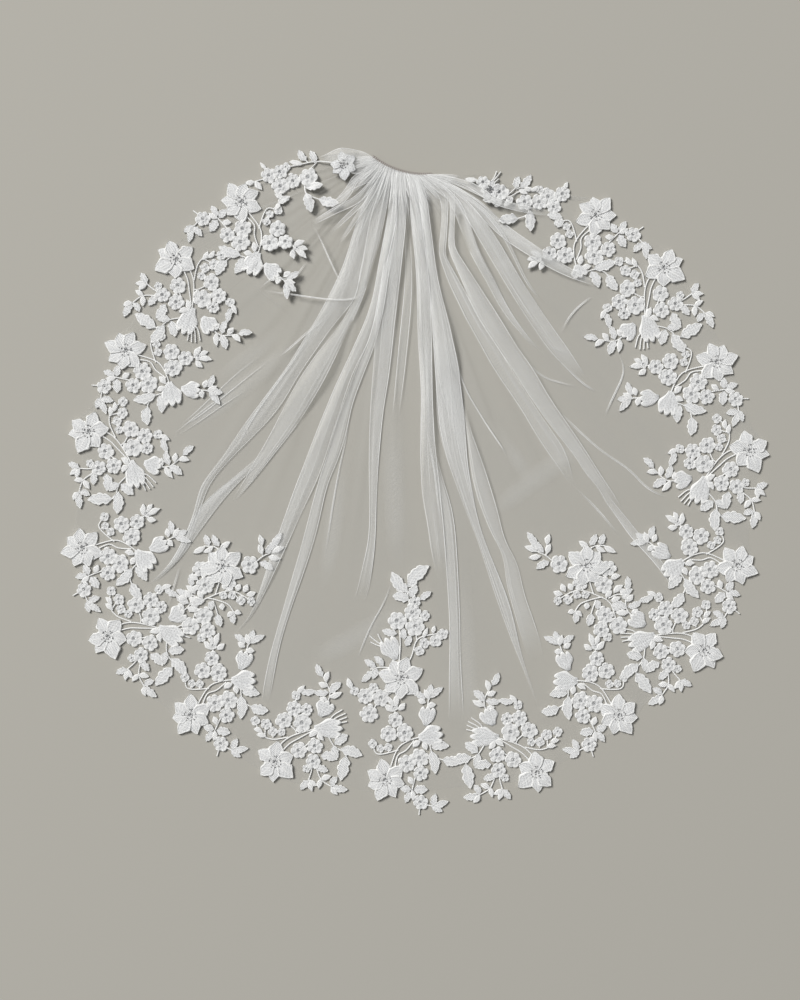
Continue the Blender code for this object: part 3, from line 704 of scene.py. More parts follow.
class Tuck:
    """A flattened tuck: two layers of net with denser edges, and finer tucks inside it."""

    def __init__(self, number, height, lines, cover, edges, steps):
        self.number = number
        self.height = height * MM
        self.lines = lines
        self.cover = cover
        places = evened(curve_points(edges, steps))
        self.count = len(places)
        self.places, self.sides, self.widths, self.gathered = [], [], [], []
        grounds = []
        travelled = 0.0
        for index, (left_x, left_y, right_x, right_y) in enumerate(places):
            place = Vector((left_x + right_x, left_y + right_y)) / 2
            side = Vector((right_x - left_x, right_y - left_y))
            travelled += (place - self.places[-1]).length if index else 0.0
            lace = top_of(LACE_TREE, *place)
            grounds.append(max(net_height(place), lace.z + 0.9 * MM if lace else 0.0) + 0.35 * MM)
            swing = 1 + 0.02 * noise.noise(Vector((travelled * 30, number * 3.1, 9.0)))
            away = (place - COMB_MIDDLE).length
            self.places.append(place)
            self.sides.append(side.normalized())
            self.widths.append(max(0.4 * MM, side.length * swing / 2))
            self.gathered.append(FAR_SHARE + (NEAR_SHARE - FAR_SHARE) * (1 - smooth((away - 0.03) / 0.30)))
        high = [max(grounds[max(0, i - 3):i + 4]) for i in range(self.count)]
        near = [high[max(0, i - 5):i + 6] for i in range(self.count)]
        self.grounds = [sum(heights) / len(heights) for heights in near]
        self.sewn = (self.places[0] - COMB_MIDDLE).length < SEWN_REACH

    def ribbon(self, mesh, offsets, lifts, closeness, shift):
        """A strip of net along the tuck; offsets, lifts and closeness tell what lies across it."""
        rows, marks = [], []
        for index in range(self.count):
            place, side, ground = self.places[index], self.sides[index], self.grounds[index]
            across = zip(offsets(index), lifts(index))
            rows.append([(*(place + side * offset), ground + lift) for offset, lift in across])
            run = index * FOLD_RUN + shift
            marks.append([(run * 0.37 + point * 0.0023 + shift, run) for point in range(len(rows[0]))])
        mesh.grid(rows, marks, closeness=closeness)

    def crown(self, index):
        """Height of the tuck's top at one place of its length."""
        rise = smooth(index * FOLD_RUN / 0.02)
        end = smooth((self.count - 1 - index) / 9)
        return min(0.5 * self.height, self.widths[index] * 0.4) * rise * (0.25 + 0.75 * end)

    def offsets(self, index):
        return [self.widths[index] * part for part in ACROSS]

    def upper(self, index):
        """Heights across the upper layer, which leans now to one side and now to the other."""
        skew = 0.35 * noise.noise(Vector((index * 0.12, self.number * 1.9, 2.0)))
        crown = self.crown(index)
        return [crown * (part + skew * place * (1 - abs(place))) for place, part in zip(ACROSS, ARCH)]

    def ends(self, index):
        """The tuck fades at its ends, but not where it is sewn to the comb."""
        end = smooth((self.count - 1 - index) / max(9, min(20, self.count / 4)))
        return end * (0.4 + 0.6 * smooth(index / 5) if self.sewn else smooth(index / 14))

    def closeness(self, index):
        """How close the net is across the tuck; a soft one fades towards its sides."""
        share = FOLD_SHARE * self.cover * self.gathered[index] * self.ends(index)
        if self.lines < 0:
            return [share * part for part in SOFT_SIDES]
        step = 1.4 * hash_value(self.number, 21) - 0.7 + 0.3 * math.sin(index * 0.05 + self.number)
        heavy = 0.4 if hash_value(self.number, 22) > 0.5 else -0.4
        return [share * (1 + heavy * (0.5 - smooth((place - step) * 4 + 0.5))) for place in ACROSS]

    def fine_tuck(self, mesh, start, finish, half, thickness):
        """A fine tuck that runs from one place across the tuck to another, as shares of the half width."""
        def place(index):
            return start + (finish - start) * (index / (self.count - 1))

        def offsets(index):
            middle = self.widths[index] * place(index)
            reach = min(half, self.widths[index] * 0.6)
            return [middle - reach, middle, middle + reach]

        def lifts(index):
            base = self.crown(index) * (1 - abs(place(index)) ** 2 * 0.8)
            return [base + 0.15 * MM, base + 0.75 * MM, base + 0.15 * MM]

        def closeness(index):
            """The fine tuck comes and goes along its length."""
            seed = half * 9000 + (start + finish) / 2 * 7
            waver = 0.8 + 0.8 * noise.noise(Vector((index * 0.09, self.number * 5.1, seed)))
            return [thickness * self.ends(index) * part * waver for part in (0.45, 1.0, 0.45)]

        self.ribbon(mesh, offsets, lifts, closeness, self.number * 0.019 + 0.2)

    def add_to(self, mesh):
        """The two layers, the upper one finer, and then the fine tucks."""
        self.ribbon(mesh, self.offsets, self.upper, self.closeness, self.number * 0.013)
        self.ribbon(
            mesh, lambda index: self.offsets(index)[::3], lambda index: [0.1 * MM] * 3,
            lambda index: self.closeness(index)[::3], self.number * 0.017 + 0.5,
        )
        if self.lines < 0:
            return
        for edge in (-1, 1):
            thickness = EDGE_SHARE * (0.5 + 0.7 * hash_value(self.number, edge, 8))
            self.fine_tuck(mesh, edge * EDGE_PLACE, edge * EDGE_PLACE, EDGE_HALF_WIDTH, thickness)
        for line in range(self.lines):
            start = -0.8 + 1.6 * hash_value(self.number, line, 1)
            finish = max(-0.8, min(0.8, start + 0.8 * hash_value(self.number, line, 2) - 0.4))
            half = (0.36 + 0.3 * hash_value(self.number, line, 5)) * MM
            self.fine_tuck(mesh, start, finish, half, LINE_SHARE)


def gather(number, flowers):
    """A short tuck that starts at one stitch of the comb."""
    share = (number + 0.5) / GATHERS
    start = comb_point(share, 0.2 * MM)
    heading = (hem_point(table_value(STITCHES, share), flowers) - start).normalized()
    side = Vector((-heading.y, heading.x))
    length = (0.026 + 0.044 * hash_value(number, 11)) * (0.7 if share < 0.12 or share > 0.9 else 1.0)
    edges = []
    for step, width in enumerate(GATHER_WIDTHS):
        place = start + heading * length * step / (len(GATHER_WIDTHS) - 1)
        edges.append((*(place - side * width * UNIT / 2), *(place + side * width * UNIT / 2)))
    return Tuck(100 + number, GATHER_HEIGHT, 0, 1.0, edges, GATHER_STEPS)


def opened(point, slits):
    """Under 1 where the point lies in a slit between folds."""
    place = Vector((point[0], point[1]))
    share = 1.0
    for width, line in slits:
        for start, end in zip(line, line[1:]):
            along = max(0.0, min(1.0, (place - start).dot(end - start) / (end - start).length_squared))
            gap = (start.lerp(end, along) - place).length
            if gap < width:
                share = min(share, 0.2 + 0.8 * smooth(gap / width))
    return share


def build_tulle():
    """The sheet with its tucks, as one object."""
    flowers = [
        Vector((x * MM, y * MM)) - Vector(LAID_MIDDLE)
        for name, x, y, _, _, _ in SPRAYS if name.startswith("edge")
    ]
    mesh = Mesh()
    mesh.grid(*sheet_rows(flowers), closeness=sheet_closeness)
    # Painted shade: rows away from the comb take the darker net colour, and the tucks added below keep the
    # white
    unshaded_share = [1 - smooth((r - 8) / 16) for r in range(NET_ROWS + 1) for _ in range(NET_COLUMNS + 1)]
    for number, (height, lines, cover, table) in enumerate(FOLDS):
        edges = [(*spot(*row[:2]), *spot(*row[2:])) for row in table]
        Tuck(number, height, lines, cover, edges, FOLD_STEPS).add_to(mesh)
    for number in range(GATHERS):
        gather(number, flowers).add_to(mesh)
    slits = [(width * UNIT, [spot(*place) for place in line]) for width, line in SLITS]
    for index, point in enumerate(mesh.points):
        mesh.closeness[index] *= opened(point, slits)
    made = mesh.build("veil_tulle", tulle_material())
    give_values(made.data, "unshaded_share", unshaded_share + [1.0] * (len(mesh.points) - len(unshaded_share)))
    return made


# Lace: each spray's large flower, in mm and degrees.
SPRAYS = [
    # name, x, y, drawing, turn, mirrored
    ("edge_01", -104, 448, "veiled", 0, False),
    ("edge_02", -253, 396, "leafy", -35, False),
    ("edge_03", -348, 312, "bell", -36, False),
    ("edge_04", -421, 180, "leafy", 0, False),
    ("edge_05", -475, 62, "bell", 0, False),
    ("edge_06", -484, -107, "leafy", 33, False),
    ("edge_07", -447, -236, "bell", 45, False),
    ("edge_08", -327, -350, "leafy", 77, False),
    ("edge_09", -204, -418, "bell", 75, False),
    ("edge_10", -44, -444, "leafy", 88, False),
    ("edge_11", 176, -433, "bell", 77, True),
    ("edge_12", 296, -350, "leafy", 76, True),
    ("edge_13", 419, -256, "bell", 52, True),
    ("edge_14", 467, -132, "leafy", 41, True),
    ("edge_15", 485, 34, "bell", 4, True),
    ("edge_16", 437, 163, "leafy", 3, True),
    ("edge_17", 361, 300, "bell", -33, True),
    ("edge_18", 262, 376, "tucked", -32, True),
    ("edge_19", 108, 412, "rolled", 0, False),
    ("inner_left", -280, -134, "inner_side", 0, False),
    ("inner_centre", -20, -296, "inner_centre", 0, False),
    ("inner_right", 248, -133, "inner_side", 0, True),
]

# Drawings: a flower (kind, size, turn, and the share of its threads' closeness that it keeps, which under 1
# is painted shade), blossoms and buds (x, y, radius), leaves (base x, y, tip x, y, half width), bells (base
# x, y, mouth x, y, half width), and stems and stamens, each as places x, y along it.
DRAWINGS = {
    "leafy": {
        "flower": ("star", 1.0, 0, 1.0),
        "blossoms": [
            (66.4, -2.2, 11), (68.4, -26.3, 12.5), (86.9, -11.6, 10.5), (24.5, -31.2, 12),
            (11.1, -51.2, 10.5), (33, -49, 12), (-31.2, -52.4, 10),
        ],
        "buds": [(51.2, 20, 6.5), (44.6, 8.9, 5.5), (46.8, -3.3, 6), (105.8, -8.9, 6)],
        "leaves": [
            (99.1, -8.9, 109.2, 5.6, 4), (106, -13, 125.9, -13.8, 4), (101.4, -15.6, 112, -25, 4),
            (108, -8, 120, -2, 3.5), (109.2, -57.9, 111.4, -70, 4), (113.6, -55, 118.1, -43, 4),
            (119.2, -54, 128, -36, 4.5), (118.1, -60, 133, -52, 4), (122.5, -60, 141, -62, 4.5),
            (121, -60, 137, -79.1, 4.5), (43.4, -64.6, 10, -72.4, 7), (49, -65.7, 52.4, -91.4, 6.5),
            (31.2, -82.4, 31.2, -109.2, 7), (57.9, -49, 47.9, -37.9, 4), (56.8, -53.5, 44.6, -59, 4),
            (-16.7, -38, -32.8, -30.1, 4.5), (-13.4, -38, -12.3, -22, 5), (-14.5, -40, -30, -41.2, 3.5),
            (-13.4, -42, -12.3, -62.4, 6), (-5.6, -40.1, 5.6, -33, 4), (-36.8, -69, -43.4, -84.7, 4.5),
            (-35.7, -70, -18, -74, 4.5), (-36.8, -70, -28.3, -93.1, 4.5),
        ],
        "bells": [(62, -46, 69, -82, 15), (80, -56, 109, -59, 12)],
        "stems": [
            [(10, -5), (43.4, -15.6), (56.8, -31.2), (65, -54)],
            [(43.4, -17.8), (36.8, 4), (38, 15), (51, 20)],
            [(14.5, -13.4), (34.5, -16.7), (43.4, -29), (58, -40)], [(-31, -52), (-50, -51)],
            [(38, 8), (45, 9)], [(40, -4), (47, -3)], [(96, -57), (108, -58), (123.7, -59.5)],
            [(60, -62), (43.4, -65.7), (33.4, -75.8), (31.2, -84.7)],
            [(11, -46), (-1.1, -42.3), (-23.4, -37.9)], [(-31, -56), (-34.5, -60.2), (-36.8, -71)],
            [(92, -10), (103, -11)], [(56, -30), (64, -22)], [(26, -34), (14, -42)],
        ],
    },
    "bell": {
        "flower": ("wide", 1.0, 0, 1.0),
        "blossoms": [
            (61.3, 3.3, 11.5), (81.3, -6.7, 10.5), (64.6, -23.4, 12.5), (84.7, -24.5, 8.5),
            (24.5, -29, 11.5), (36.8, -50.1, 10.5), (14.5, -53.5, 10.5),
        ],
        "buds": [
            (50.1, 43.4, 6.5), (49, 26.7, 7.5), (41.2, 14.5, 6.5), (43.9, 2.2, 6), (100.3, -4.5, 6.5),
            (2.2, -46.8, 5.5),
        ],
        "leaves": [
            (31.9, 22, 30.5, 36.8, 3.5), (36.8, 29, 37.9, 43, 3.5), (137, -34.5, 153, -21, 4.5),
            (130, -41, 147, -42, 4), (117, -51, 135.9, -63, 5.5), (110.3, -51.5, 122.5, -68, 4),
            (107, -50, 105.8, -38, 3.5), (124.8, -45, 127, -31, 4), (117, -49, 111.4, -28, 4.5),
            (103.6, -5, 118.1, -13, 3.5), (108, -8, 114.7, -31.2, 4.5), (59, -49, 46.8, -37.9, 4),
            (57.9, -49, 47.9, -60.2, 4), (25.6, -62, 26.7, -86.9, 6.5), (44.6, -75.8, 29, -86.9, 5),
            (46.8, -76.9, 65, -92, 6.5), (34, -98, -2.2, -99.1, 8), (42, -88, 41.2, -120.3, 7.5),
            (8.9, -60.2, 6.7, -78, 5), (-14, -53, -30, -45.7, 4.5), (-16, -54, -27.9, -63.5, 3.5),
            (-13, -54, -17.8, -69, 3.5), (-7, -71, -22, -71, 3.5), (-7.8, -71, 1, -84, 4),
            (-14.5, -88, -23, -100, 4), (-13.4, -88, 2, -93, 4.5), (-14.5, -90, -12.3, -112.5, 5),
        ],
        "bells": [(61, -42, 72, -83, 14), (80, -46, 106, -52, 13)],
        "stamens": [
            [(74, -63), (83, -68), (94, -81)], [(75, -61), (86, -64), (98, -75)],
            [(74, -66), (81, -73), (89, -84)], [(73, -69), (78, -76), (83, -86)],
        ],
        "stems": [
            [(14, 0), (27.9, -2.2), (43.4, -15.6), (61.3, -44.6), (67, -56)],
            [(12, -3), (30.1, -13.4), (41.2, -24.5), (60, -44)], [(39, -9), (30.1, 12), (33, 30), (49, 43)],
            [(32, 24), (48, 27)], [(33, 12), (42, 14)], [(96, -50), (117, -51.2), (137, -35.7)],
            [(64, -58), (44.6, -75.8), (40, -92)], [(12, -53), (-1.1, -54.6), (-16.7, -53.5)],
            [(10, -58), (3.3, -62.4), (-8.9, -72.4), (-14.5, -90)], [(25, -30), (40, -42)],
            [(88, -6), (108, -6)], [(44, -88), (34, -98)], [(60, 0), (52, -16), (46, -20)],
        ],
    },
    "veiled": {
        # Painted shade: the veiled flower keeps 0.35 of its closeness, so it reads darker under the net
        "flower": ("wide", 0.68, 30, 0.35),
        "blossoms": [(-52, -17, 13), (-74, -22, 10), (-92, -30, 11.5), (-93, -9, 10), (-109, -14, 10.5)],
        "buds": [(-84, -2, 6)],
        "leaves": [
            (-112, -6, -122, 5, 2.5), (-65, 1, -80, 6, 3.5), (-60, 2, -74, 8, 3.5), (-55, 7, -66, 23, 4.8),
            (-42, 4, -49, 22, 4.8), (-56, -32, -30, -29, 6), (-55, -41, -47, -69, 7),
            (-36, -50, -7, -56, 7), (-89, -47, -101, -41, 4), (-95, -55, -78, -45, 4.8),
            (-94, -54, -98, -64, 3.5), (-130, -23, -144, -25, 3.8), (-130, -23, -119, -35, 4),
        ],
        "bells": [],
        "stems": [
            [(-18, 4), (-39, 6), (-54, 4), (-66, 1)], [(-39, 6), (-46, -2), (-54, -9)],
            [(-57, -28), (-54, -42), (-36, -50)], [(-116, -19), (-130, -23)], [(-92, -36), (-95, -54)],
            [(-66, 1), (-84, -2)], [(-52, 4), (-55, 8)],
        ],
    },
    "rolled": {
        "flower": ("wide", 0.5, 0, 1.0),
        "blossoms": [
            (-10, 11, 9), (14, -3, 12), (51, -17, 11), (72, -17, 10.5), (85, -9, 11.5), (106, -5, 11),
            (93, -24, 9.5),
        ],
        "buds": [(10, -18, 6.5), (73, 1, 6), (28, -14, 5.5)],
        "leaves": [
            (-18, 14, -37, 16, 3.6), (8, -13, -11, -15, 4.2), (37, 3, 42, 21, 5), (45, 4, 60, 23, 5.4),
            (42, 1, 55, -5, 3.6), (50, 3, 63, 2, 3.4), (60, -1, 70, 7, 3), (109, 1, 113, 13, 3),
            (105, -39, 83, -35, 5.4), (105, -40, 98, -54, 4.4), (58, -30, 59, -60, 7),
            (41, -41, 11, -45, 7), (28, -14, 20, -25, 3.4),
        ],
        "bells": [],
        "stamens": [[(0, 11), (6, 18), (10, 28)], [(1, 10), (8, 17), (16, 27)], [(2, 8), (8, 12), (13, 17)]],
        "stems": [
            [(12, -16), (30, -9), (44, -1), (60, 0)], [(56, -20), (56, -32), (50, -38), (41, -41)],
            [(24, -9), (38, 4)], [(93, -28), (105, -39)], [(38, 2), (48, 6)],
        ],
    },
    "inner_side": {
        "flower": ("star", 1.05, 24, 1.0),
        "blossoms": [
            (-32.3, -4.5, 11), (-25.6, -27.9, 12), (39, 2.2, 12), (-27.9, -72.4, 12), (-46.8, -86.9, 12),
            (-22.3, -93.6, 11), (8.9, -24, 10.5),
        ],
        "buds": [
            (26.7, -50.1, 6.5), (41.2, -51.2, 6), (13.4, -42.3, 6), (1.1, -42.3, 5.5), (-31.2, -104, 6.5),
        ],
        "leaves": [
            (-26, 28, -44, 19, 4), (-20, 30, -26, 46, 4.5), (-14, 28, -29, 20, 3.5), (-6, 29, -15, 46, 4.5),
            (-4, 26, 11, 36, 4), (57, 30, 53, 46, 4), (57, 17, 52, 32, 4), (62, 19, 74, 36, 4.5),
            (72, 22, 86, 49, 5), (72, 20, 90, 28, 4), (66, 14, 84, 11, 4), (54, 6, 73, -5, 5),
            (16, -67, 6, -74, 3.5), (16, -67, 27, -69, 3.5), (15, -68, 16, -84, 4.5),
            (-36, -20, -50, -14, 4), (-30, -46, -37, -36, 4), (-36, -52, -50, -46, 4),
            (-38, -56, -50, -66, 4.5), (-52, -46, -68, -34, 4.5), (-52, -46, -66, -48, 4),
            (-40, -40, -54, -28, 4), (-16, -50, -17, -64, 4.5), (-2, -54, 0, -64, 4), (20, -36, 26, -26, 4),
            (30, -38, 36, -26, 4), (34, -42, 48, -38, 4), (-8, -70, -3, -88, 5.5),
        ],
        "bells": [],
        "stems": [
            [(-30, -50), (-23.4, -46.8), (-1.1, -37.9), (16.7, -37), (41, -50)],
            [(-2, -12), (-6, -26), (-11.1, -42)], [(-24, -46), (-10, -49), (7.8, -55.7), (16, -67)],
            [(-30, -50), (-36, -56), (-40, -66), (-44, -80)], [(8, -30), (2, -40)],
            [(-26, -30), (-30, -48)], [(46, 4), (58, 14), (72, 21), (80, 30)],
            [(-2, 20), (-12, 28), (-28, 29)], [(-32, -48), (-46, -42), (-56, -44)], [(58, 14), (57, 30)],
            [(16, -40), (26, -50)], [(-14, -50), (-10, -62), (-7, -72)],
        ],
    },
    "inner_centre": {
        "flower": ("star", 1.08, 8, 1.0),
        "blossoms": [
            (-6.5, 82.6, 12), (15.8, 94.7, 12), (20.4, 74.2, 13), (-52.9, -26.9, 11), (-29.7, -29.7, 12.5),
            (-47.3, -52, 12), (19.5, 109.5, 8),
        ],
        "buds": [
            (34.3, 90, 7), (-40.8, -14.8, 7), (-68.7, -19.5, 6.5), (59.4, 63.1, 8), (49.2, 53.5, 8),
            (32.9, 50.5, 7.5), (25.1, 39, 7),
        ],
        "leaves": [
            (8, 124, -14.8, 154, 8), (9, 132, 40, 163, 9), (12, 117, 22.3, 134, 6),
            (10.2, 113.2, -14, 119, 7), (26.9, 113.2, 43, 125, 4.5), (-7, 64, -29, 69, 5),
            (3.7, 55.7, 2.8, 72, 4.5), (5.6, 46, 13, 62, 4.5), (-26.9, 17, -40, 31, 4.5),
            (-38, 15, -54.5, 26, 4.5), (-44, 10, -59, -6, 4.5), (-36.2, 13, -42, -2, 5),
            (-71.5, -17, -79, 0, 4), (30.6, 57, 38, 73, 3), (45, 64, 48, 76, 3),
        ],
        "bells": [(-8, 26, -24, 58, 14)],
        "stamens": [
            [(-26, 46), (-36, 52), (-47, 61)], [(-26, 44), (-36, 47), (-46, 52)],
            [(-27, 49), (-31, 56), (-35, 64)],
        ],
        "stems": [
            [(6, 20), (14, 30), (23.2, 55.7), (47.3, 63), (59, 63)], [(-4, 22), (-2, 48), (-4, 80)],
            [(16, 96), (10, 112), (8, 128)], [(-18, 14), (-30, 15), (-46, 12)], [(-6, -14), (-26, -30)],
            [(14, 100), (26, 113)], [(22, 54), (20, 74)], [(-30, -30), (-44, -50)],
        ],
    },
}

# The spray whose lower bell and tip the net band hides.
DRAWINGS["tucked"] = dict(
    DRAWINGS["leafy"],
    bells=[(62, -46, 66, -66, 12)],
    leaves=[row for row in DRAWINGS["leafy"]["leaves"] if row[0] < 109 or row[1] > -50],
    stems=[row for row in DRAWINGS["leafy"]["stems"] if row[0] != (96, -57)],
)


def both_sides(half):
    """A section that is given from its middle to one edge, with its mirrored half before it."""
    return [(-across, *rest) for across, *rest in reversed(half[1:])] + half


# Sections, from the middle to an edge: place across, height, closeness.
BLADE = both_sides([
    (0.0, 0.84, 0.95), (0.10, 0.62, 0.30), (0.28, 0.80, 0.35), (0.50, 0.74, 0.10), (0.72, 0.58, 0.35),
    (0.86, 1.0, 1.0), (0.97, 0.62, 1.0), (1.0, 0.0, 1.0),
])
SLIM_BLADE = both_sides([
    (0.0, 0.90, 0.9), (0.22, 0.72, 0.3), (0.62, 1.0, 0.9), (0.90, 0.75, 1.0), (1.0, 0.0, 1.0),
])
CORD = both_sides([(0.0, 1.0), (0.72, 0.72), (1.0, 0.0)])

# Outlines: share of the length, share of the half width.
LEAF_FORM = [
    (0.0, 0.10), (0.10, 0.44), (0.20, 0.82), (0.29, 0.94), (0.36, 0.74), (0.45, 0.94), (0.55, 1.0),
    (0.63, 0.78), (0.70, 0.82), (0.79, 0.70), (0.86, 0.42), (0.94, 0.26), (1.0, 0.02),
]
SLIM_FORM = [(0.0, 0.12), (0.16, 0.60), (0.34, 0.95), (0.52, 1.0), (0.70, 0.78), (0.86, 0.42), (1.0, 0.02)]
PETAL_FORM = [
    (0.0, 0.32), (0.14, 0.52), (0.27, 0.80), (0.38, 0.98), (0.46, 0.94), (0.55, 1.0), (0.66, 0.90),
    (0.76, 0.66), (0.86, 0.44), (0.94, 0.20), (1.0, 0.03),
]

# A blossom from its edge in: share of the radius, height, closeness.
ROUND_FORM = [
    (1.0, 0.0, 1.0), (0.985, 0.62, 1.0), (0.91, 1.0, 1.0), (0.80, 0.55, 0.4), (0.64, 0.84, 0.7),
    (0.50, 0.62, 0.15), (0.38, 0.88, 0.9), (0.28, 0.86, 0.7), (0.19, 0.25, 0.0), (0.08, 0.12, 0.0),
]
LOBE_STEPS = 6

# Petals: bearing in degrees, length and half width in mm.
FLOWER_PETALS = {
    "star": [
        (14, 31, 9.2), (66, 29, 8.6), (112, 27, 9.4), (160, 33, 9.4), (212, 30, 8.8), (258, 29, 9.6),
        (308, 32, 9.6),
    ],
    "wide": [(72, 30, 9.4), (146, 29, 9.6), (188, 30, 8.4), (243, 35, 11), (304, 28, 10), (8, 30, 10.4)],
}
FLOWER_BEADS = [
    # ring, count, mm out from the middle
    (0, 14, 8.4), (1, 5, 3.0),
]


class Drawing(Mesh):
    """A spray's relief in its own millimetres: x, y and height over the net."""

    def __init__(self):
        super().__init__()
        self.beads = []

    def blade(self, base, tip, half_width, form, height, bend=0.0, rise=0.0, lean=0.0, painted_shade_dull=1.0):
        """A leaf or petal from base to tip, with a corded, uneven edge and a vein."""
        base, tip = Vector(base), Vector(tip)
        axis = tip - base
        side = Vector((-axis.y, axis.x)).normalized()
        section = BLADE if half_width > 4.9 else SLIM_BLADE
        rows, marks = [], []
        for share, width in form:
            middle = base + axis * share + side * (bend * math.sin(math.pi * share) * axis.length)
            row, row_marks = [], []
            for across, lift, _ in section:
                flank = 1 if across > 0 else -1
                wave = 1 + 0.09 * math.sin(share * 15 + flank * 2 + base.x + base.y * 0.7)
                place = middle + side * (across * width * half_width * wave)
                low = 0.0 if lift == 0 else rise * math.sin(math.pi * min(1.0, share * 1.1)) + lean * across
                row.append((place.x, place.y, max(0.0, height * lift + low)))
                row_marks.append((share * axis.length * MM, across * half_width * width * MM))
            rows.append(row)
            marks.append(row_marks)
        tip_rows = len(form) - 2
        self.grid(rows, marks, closeness=lambda r: [
            painted_shade_dull if r >= tip_rows else painted_shade_dull * threads for _, _, threads in section
        ])

    def rosette(self, x, y, radius, lobes, height, turn):
        """A blossom or bud: lobes with a corded edge round a sunken eye."""
        count = lobes * LOBE_STEPS
        lobed = [abs(math.cos(lobes * math.pi * step / count)) for step in range(count)]
        rows, marks = [], []
        for share, lift, _ in ROUND_FORM:
            row, row_marks = [], []
            for step, lobe in enumerate(lobed):
                angle = turn + 2 * math.pi * step / count
                uneven = 0.90 + 0.20 * hash_value(round(step / LOBE_STEPS) % lobes, x, turn)
                reach = radius * (0.80 + 0.20 * lobe ** 0.6) * (1 + (uneven - 1) * share)
                groove = 1.0 if share < 0.4 else 0.35 + 0.65 * lobe ** 0.5
                out = reach * share
                row.append((x + out * math.cos(angle), y + out * math.sin(angle), height * lift * groove))
                row_marks.append((angle * radius * MM, share * radius * MM))
            rows.append(row)
            marks.append(row_marks)
        self.grid(rows, marks, closed=True, closeness=lambda r: [
            ROUND_FORM[r][2] * (0.55 + 0.45 * lobe) for lobe in lobed
        ])
        first = len(self.points) - count
        self.points.append((x, y, height * 0.1))
        self.marks.append((0.0, 0.0))
        self.closeness.append(0.0)
        for step in range(count):
            self.faces.append((first + step, first + (step + 1) % count, first + count))

    def stem(self, points, half_width=1.0, height=1.3):
        """A corded stem through a few places."""
        places = [Vector(place) for place in curve_points(points, 4)]
        rows, marks = [], []
        run = 0.0
        for index, place in enumerate(places):
            before, after = places[max(0, index - 1)], places[min(len(places) - 1, index + 1)]
            heading = (after - before).normalized()
            side = Vector((-heading.y, heading.x)) * half_width
            run += (place - before).length
            rows.append([(*(place + side * across), lift * height) for across, lift in CORD])
            marks.append([(run * MM, across * MM) for across, _ in CORD])
        self.grid(rows, marks)

    def flower(self, kind, size, turn, painted_shade_dull):
        """The large flower: pointed petals round a heart with small beads."""
        for petal, (bearing, length, half_width) in enumerate(FLOWER_PETALS[kind]):
            angle = math.radians(turn + bearing)
            heading = Vector((math.cos(angle), math.sin(angle)))
            bend = 0.10 * (hash_value(petal, length) - 0.5)
            # A last value under 1 darkens the petals towards the filling colour: painted shade
            self.blade(
                heading * 3, heading * length * size, half_width * size * 1.1, PETAL_FORM,
                2.1 + 0.5 * (petal % 2), bend=bend, rise=0.9, lean=0.5, painted_shade_dull=painted_shade_dull,
            )
        self.rosette(0, 0, 8 * size, 7, 2.9, 0.3)
        for ring, count, away in FLOWER_BEADS:
            for bead in range(count):
                angle = 2 * math.pi * (bead + 0.5 * ring) / count + hash_value(bead, ring)
                place = away * (0.72 + 0.5 * hash_value(bead, ring, 2)) * size
                self.beads.append((place * math.cos(angle), place * math.sin(angle), 3.3, angle))

    def bell(self, base_x, base_y, mouth_x, mouth_y, half_width):
        """A flower seen from its side: a fan of ribs with a frilled mouth."""
        base, mouth = Vector((base_x, base_y)), Vector((mouth_x, mouth_y))
        axis = mouth - base
        side = Vector((-axis.y, axis.x)).normalized()
        middle = (BELL_COLUMNS - 1) / 2
        rows, marks, close = [], [], []
        for step in range(BELL_ROWS):
            share = min(1.0, step / (BELL_ROWS - 2))
            row, row_marks, row_close = [], [], []
            for column in range(BELL_COLUMNS):
                across = -1 + column / middle
                lobe = abs(math.sin(math.pi * column / 8))
                reach = share * (0.80 + 0.20 * lobe ** 0.6) * (1 - 0.14 * across * across)
                width = half_width * (0.26 + 0.74 * smooth(share * 1.5) + 0.06 * math.sin(share * 9 + across))
                place = base + axis * reach + side * (across * width)
                rib = (0.80 + 0.20 * lobe ** 0.5) * (1.0 if share > 0.82 or abs(across) > 0.8 else 0.8)
                edge = abs(across) == 1 or step in (0, BELL_ROWS - 1)
                corded = share > 0.88 or abs(across) > 0.9
                row.append((place.x, place.y, 0.0 if edge else 2.3 * rib * (1 - 0.35 * across * across)))
                row_marks.append((reach * axis.length * MM, across * width * MM))
                row_close.append(0.9 if corded else 0.10 + 0.35 * (column % 4 == 0))
            rows.append(row)
            marks.append(row_marks)
            close.append(row_close)
        self.grid(rows, marks, closeness=lambda r: close[r])


def drawn(drawing):
    """The whole relief of one drawing."""
    made = Drawing()
    for points in drawing["stems"]:
        made.stem(points)
    for index, (base_x, base_y, tip_x, tip_y, half_width) in enumerate(drawing["leaves"]):
        bend = 0.20 * (hash_value(index, base_x) - 0.5)
        form = LEAF_FORM if half_width > 4 else SLIM_FORM
        made.blade((base_x, base_y), (tip_x, tip_y), half_width * 1.15, form, 1.7, bend=bend, rise=0.5)
    for row in drawing["bells"]:
        made.bell(*row)
    for points in drawing.get("stamens", []):
        made.stem(points, 0.95, 1.8)
    for index, (x, y, radius) in enumerate(drawing["blossoms"]):
        made.rosette(x, y, radius * 1.12, 6 + index % 2, 2.1 + 0.5 * hash_value(index, x), index)
        made.beads.append((x, y, 1.1, index))
    for index, (x, y, radius) in enumerate(drawing["buds"]):
        made.rosette(x, y, radius * 1.1, 4 + index % 2, 2.0, index)
    made.flower(*drawing["flower"])
    return made


def lace_ground(tree, x, y):
    """Height of the solid lace's underside, at the place or the nearest one of the spray."""
    hit = top_of(tree, x, y)
    if hit is None:
        hit = tree.find_nearest(Vector((x, y, 0.003)))[0]
    return hit.z - LACE_THICKNESS


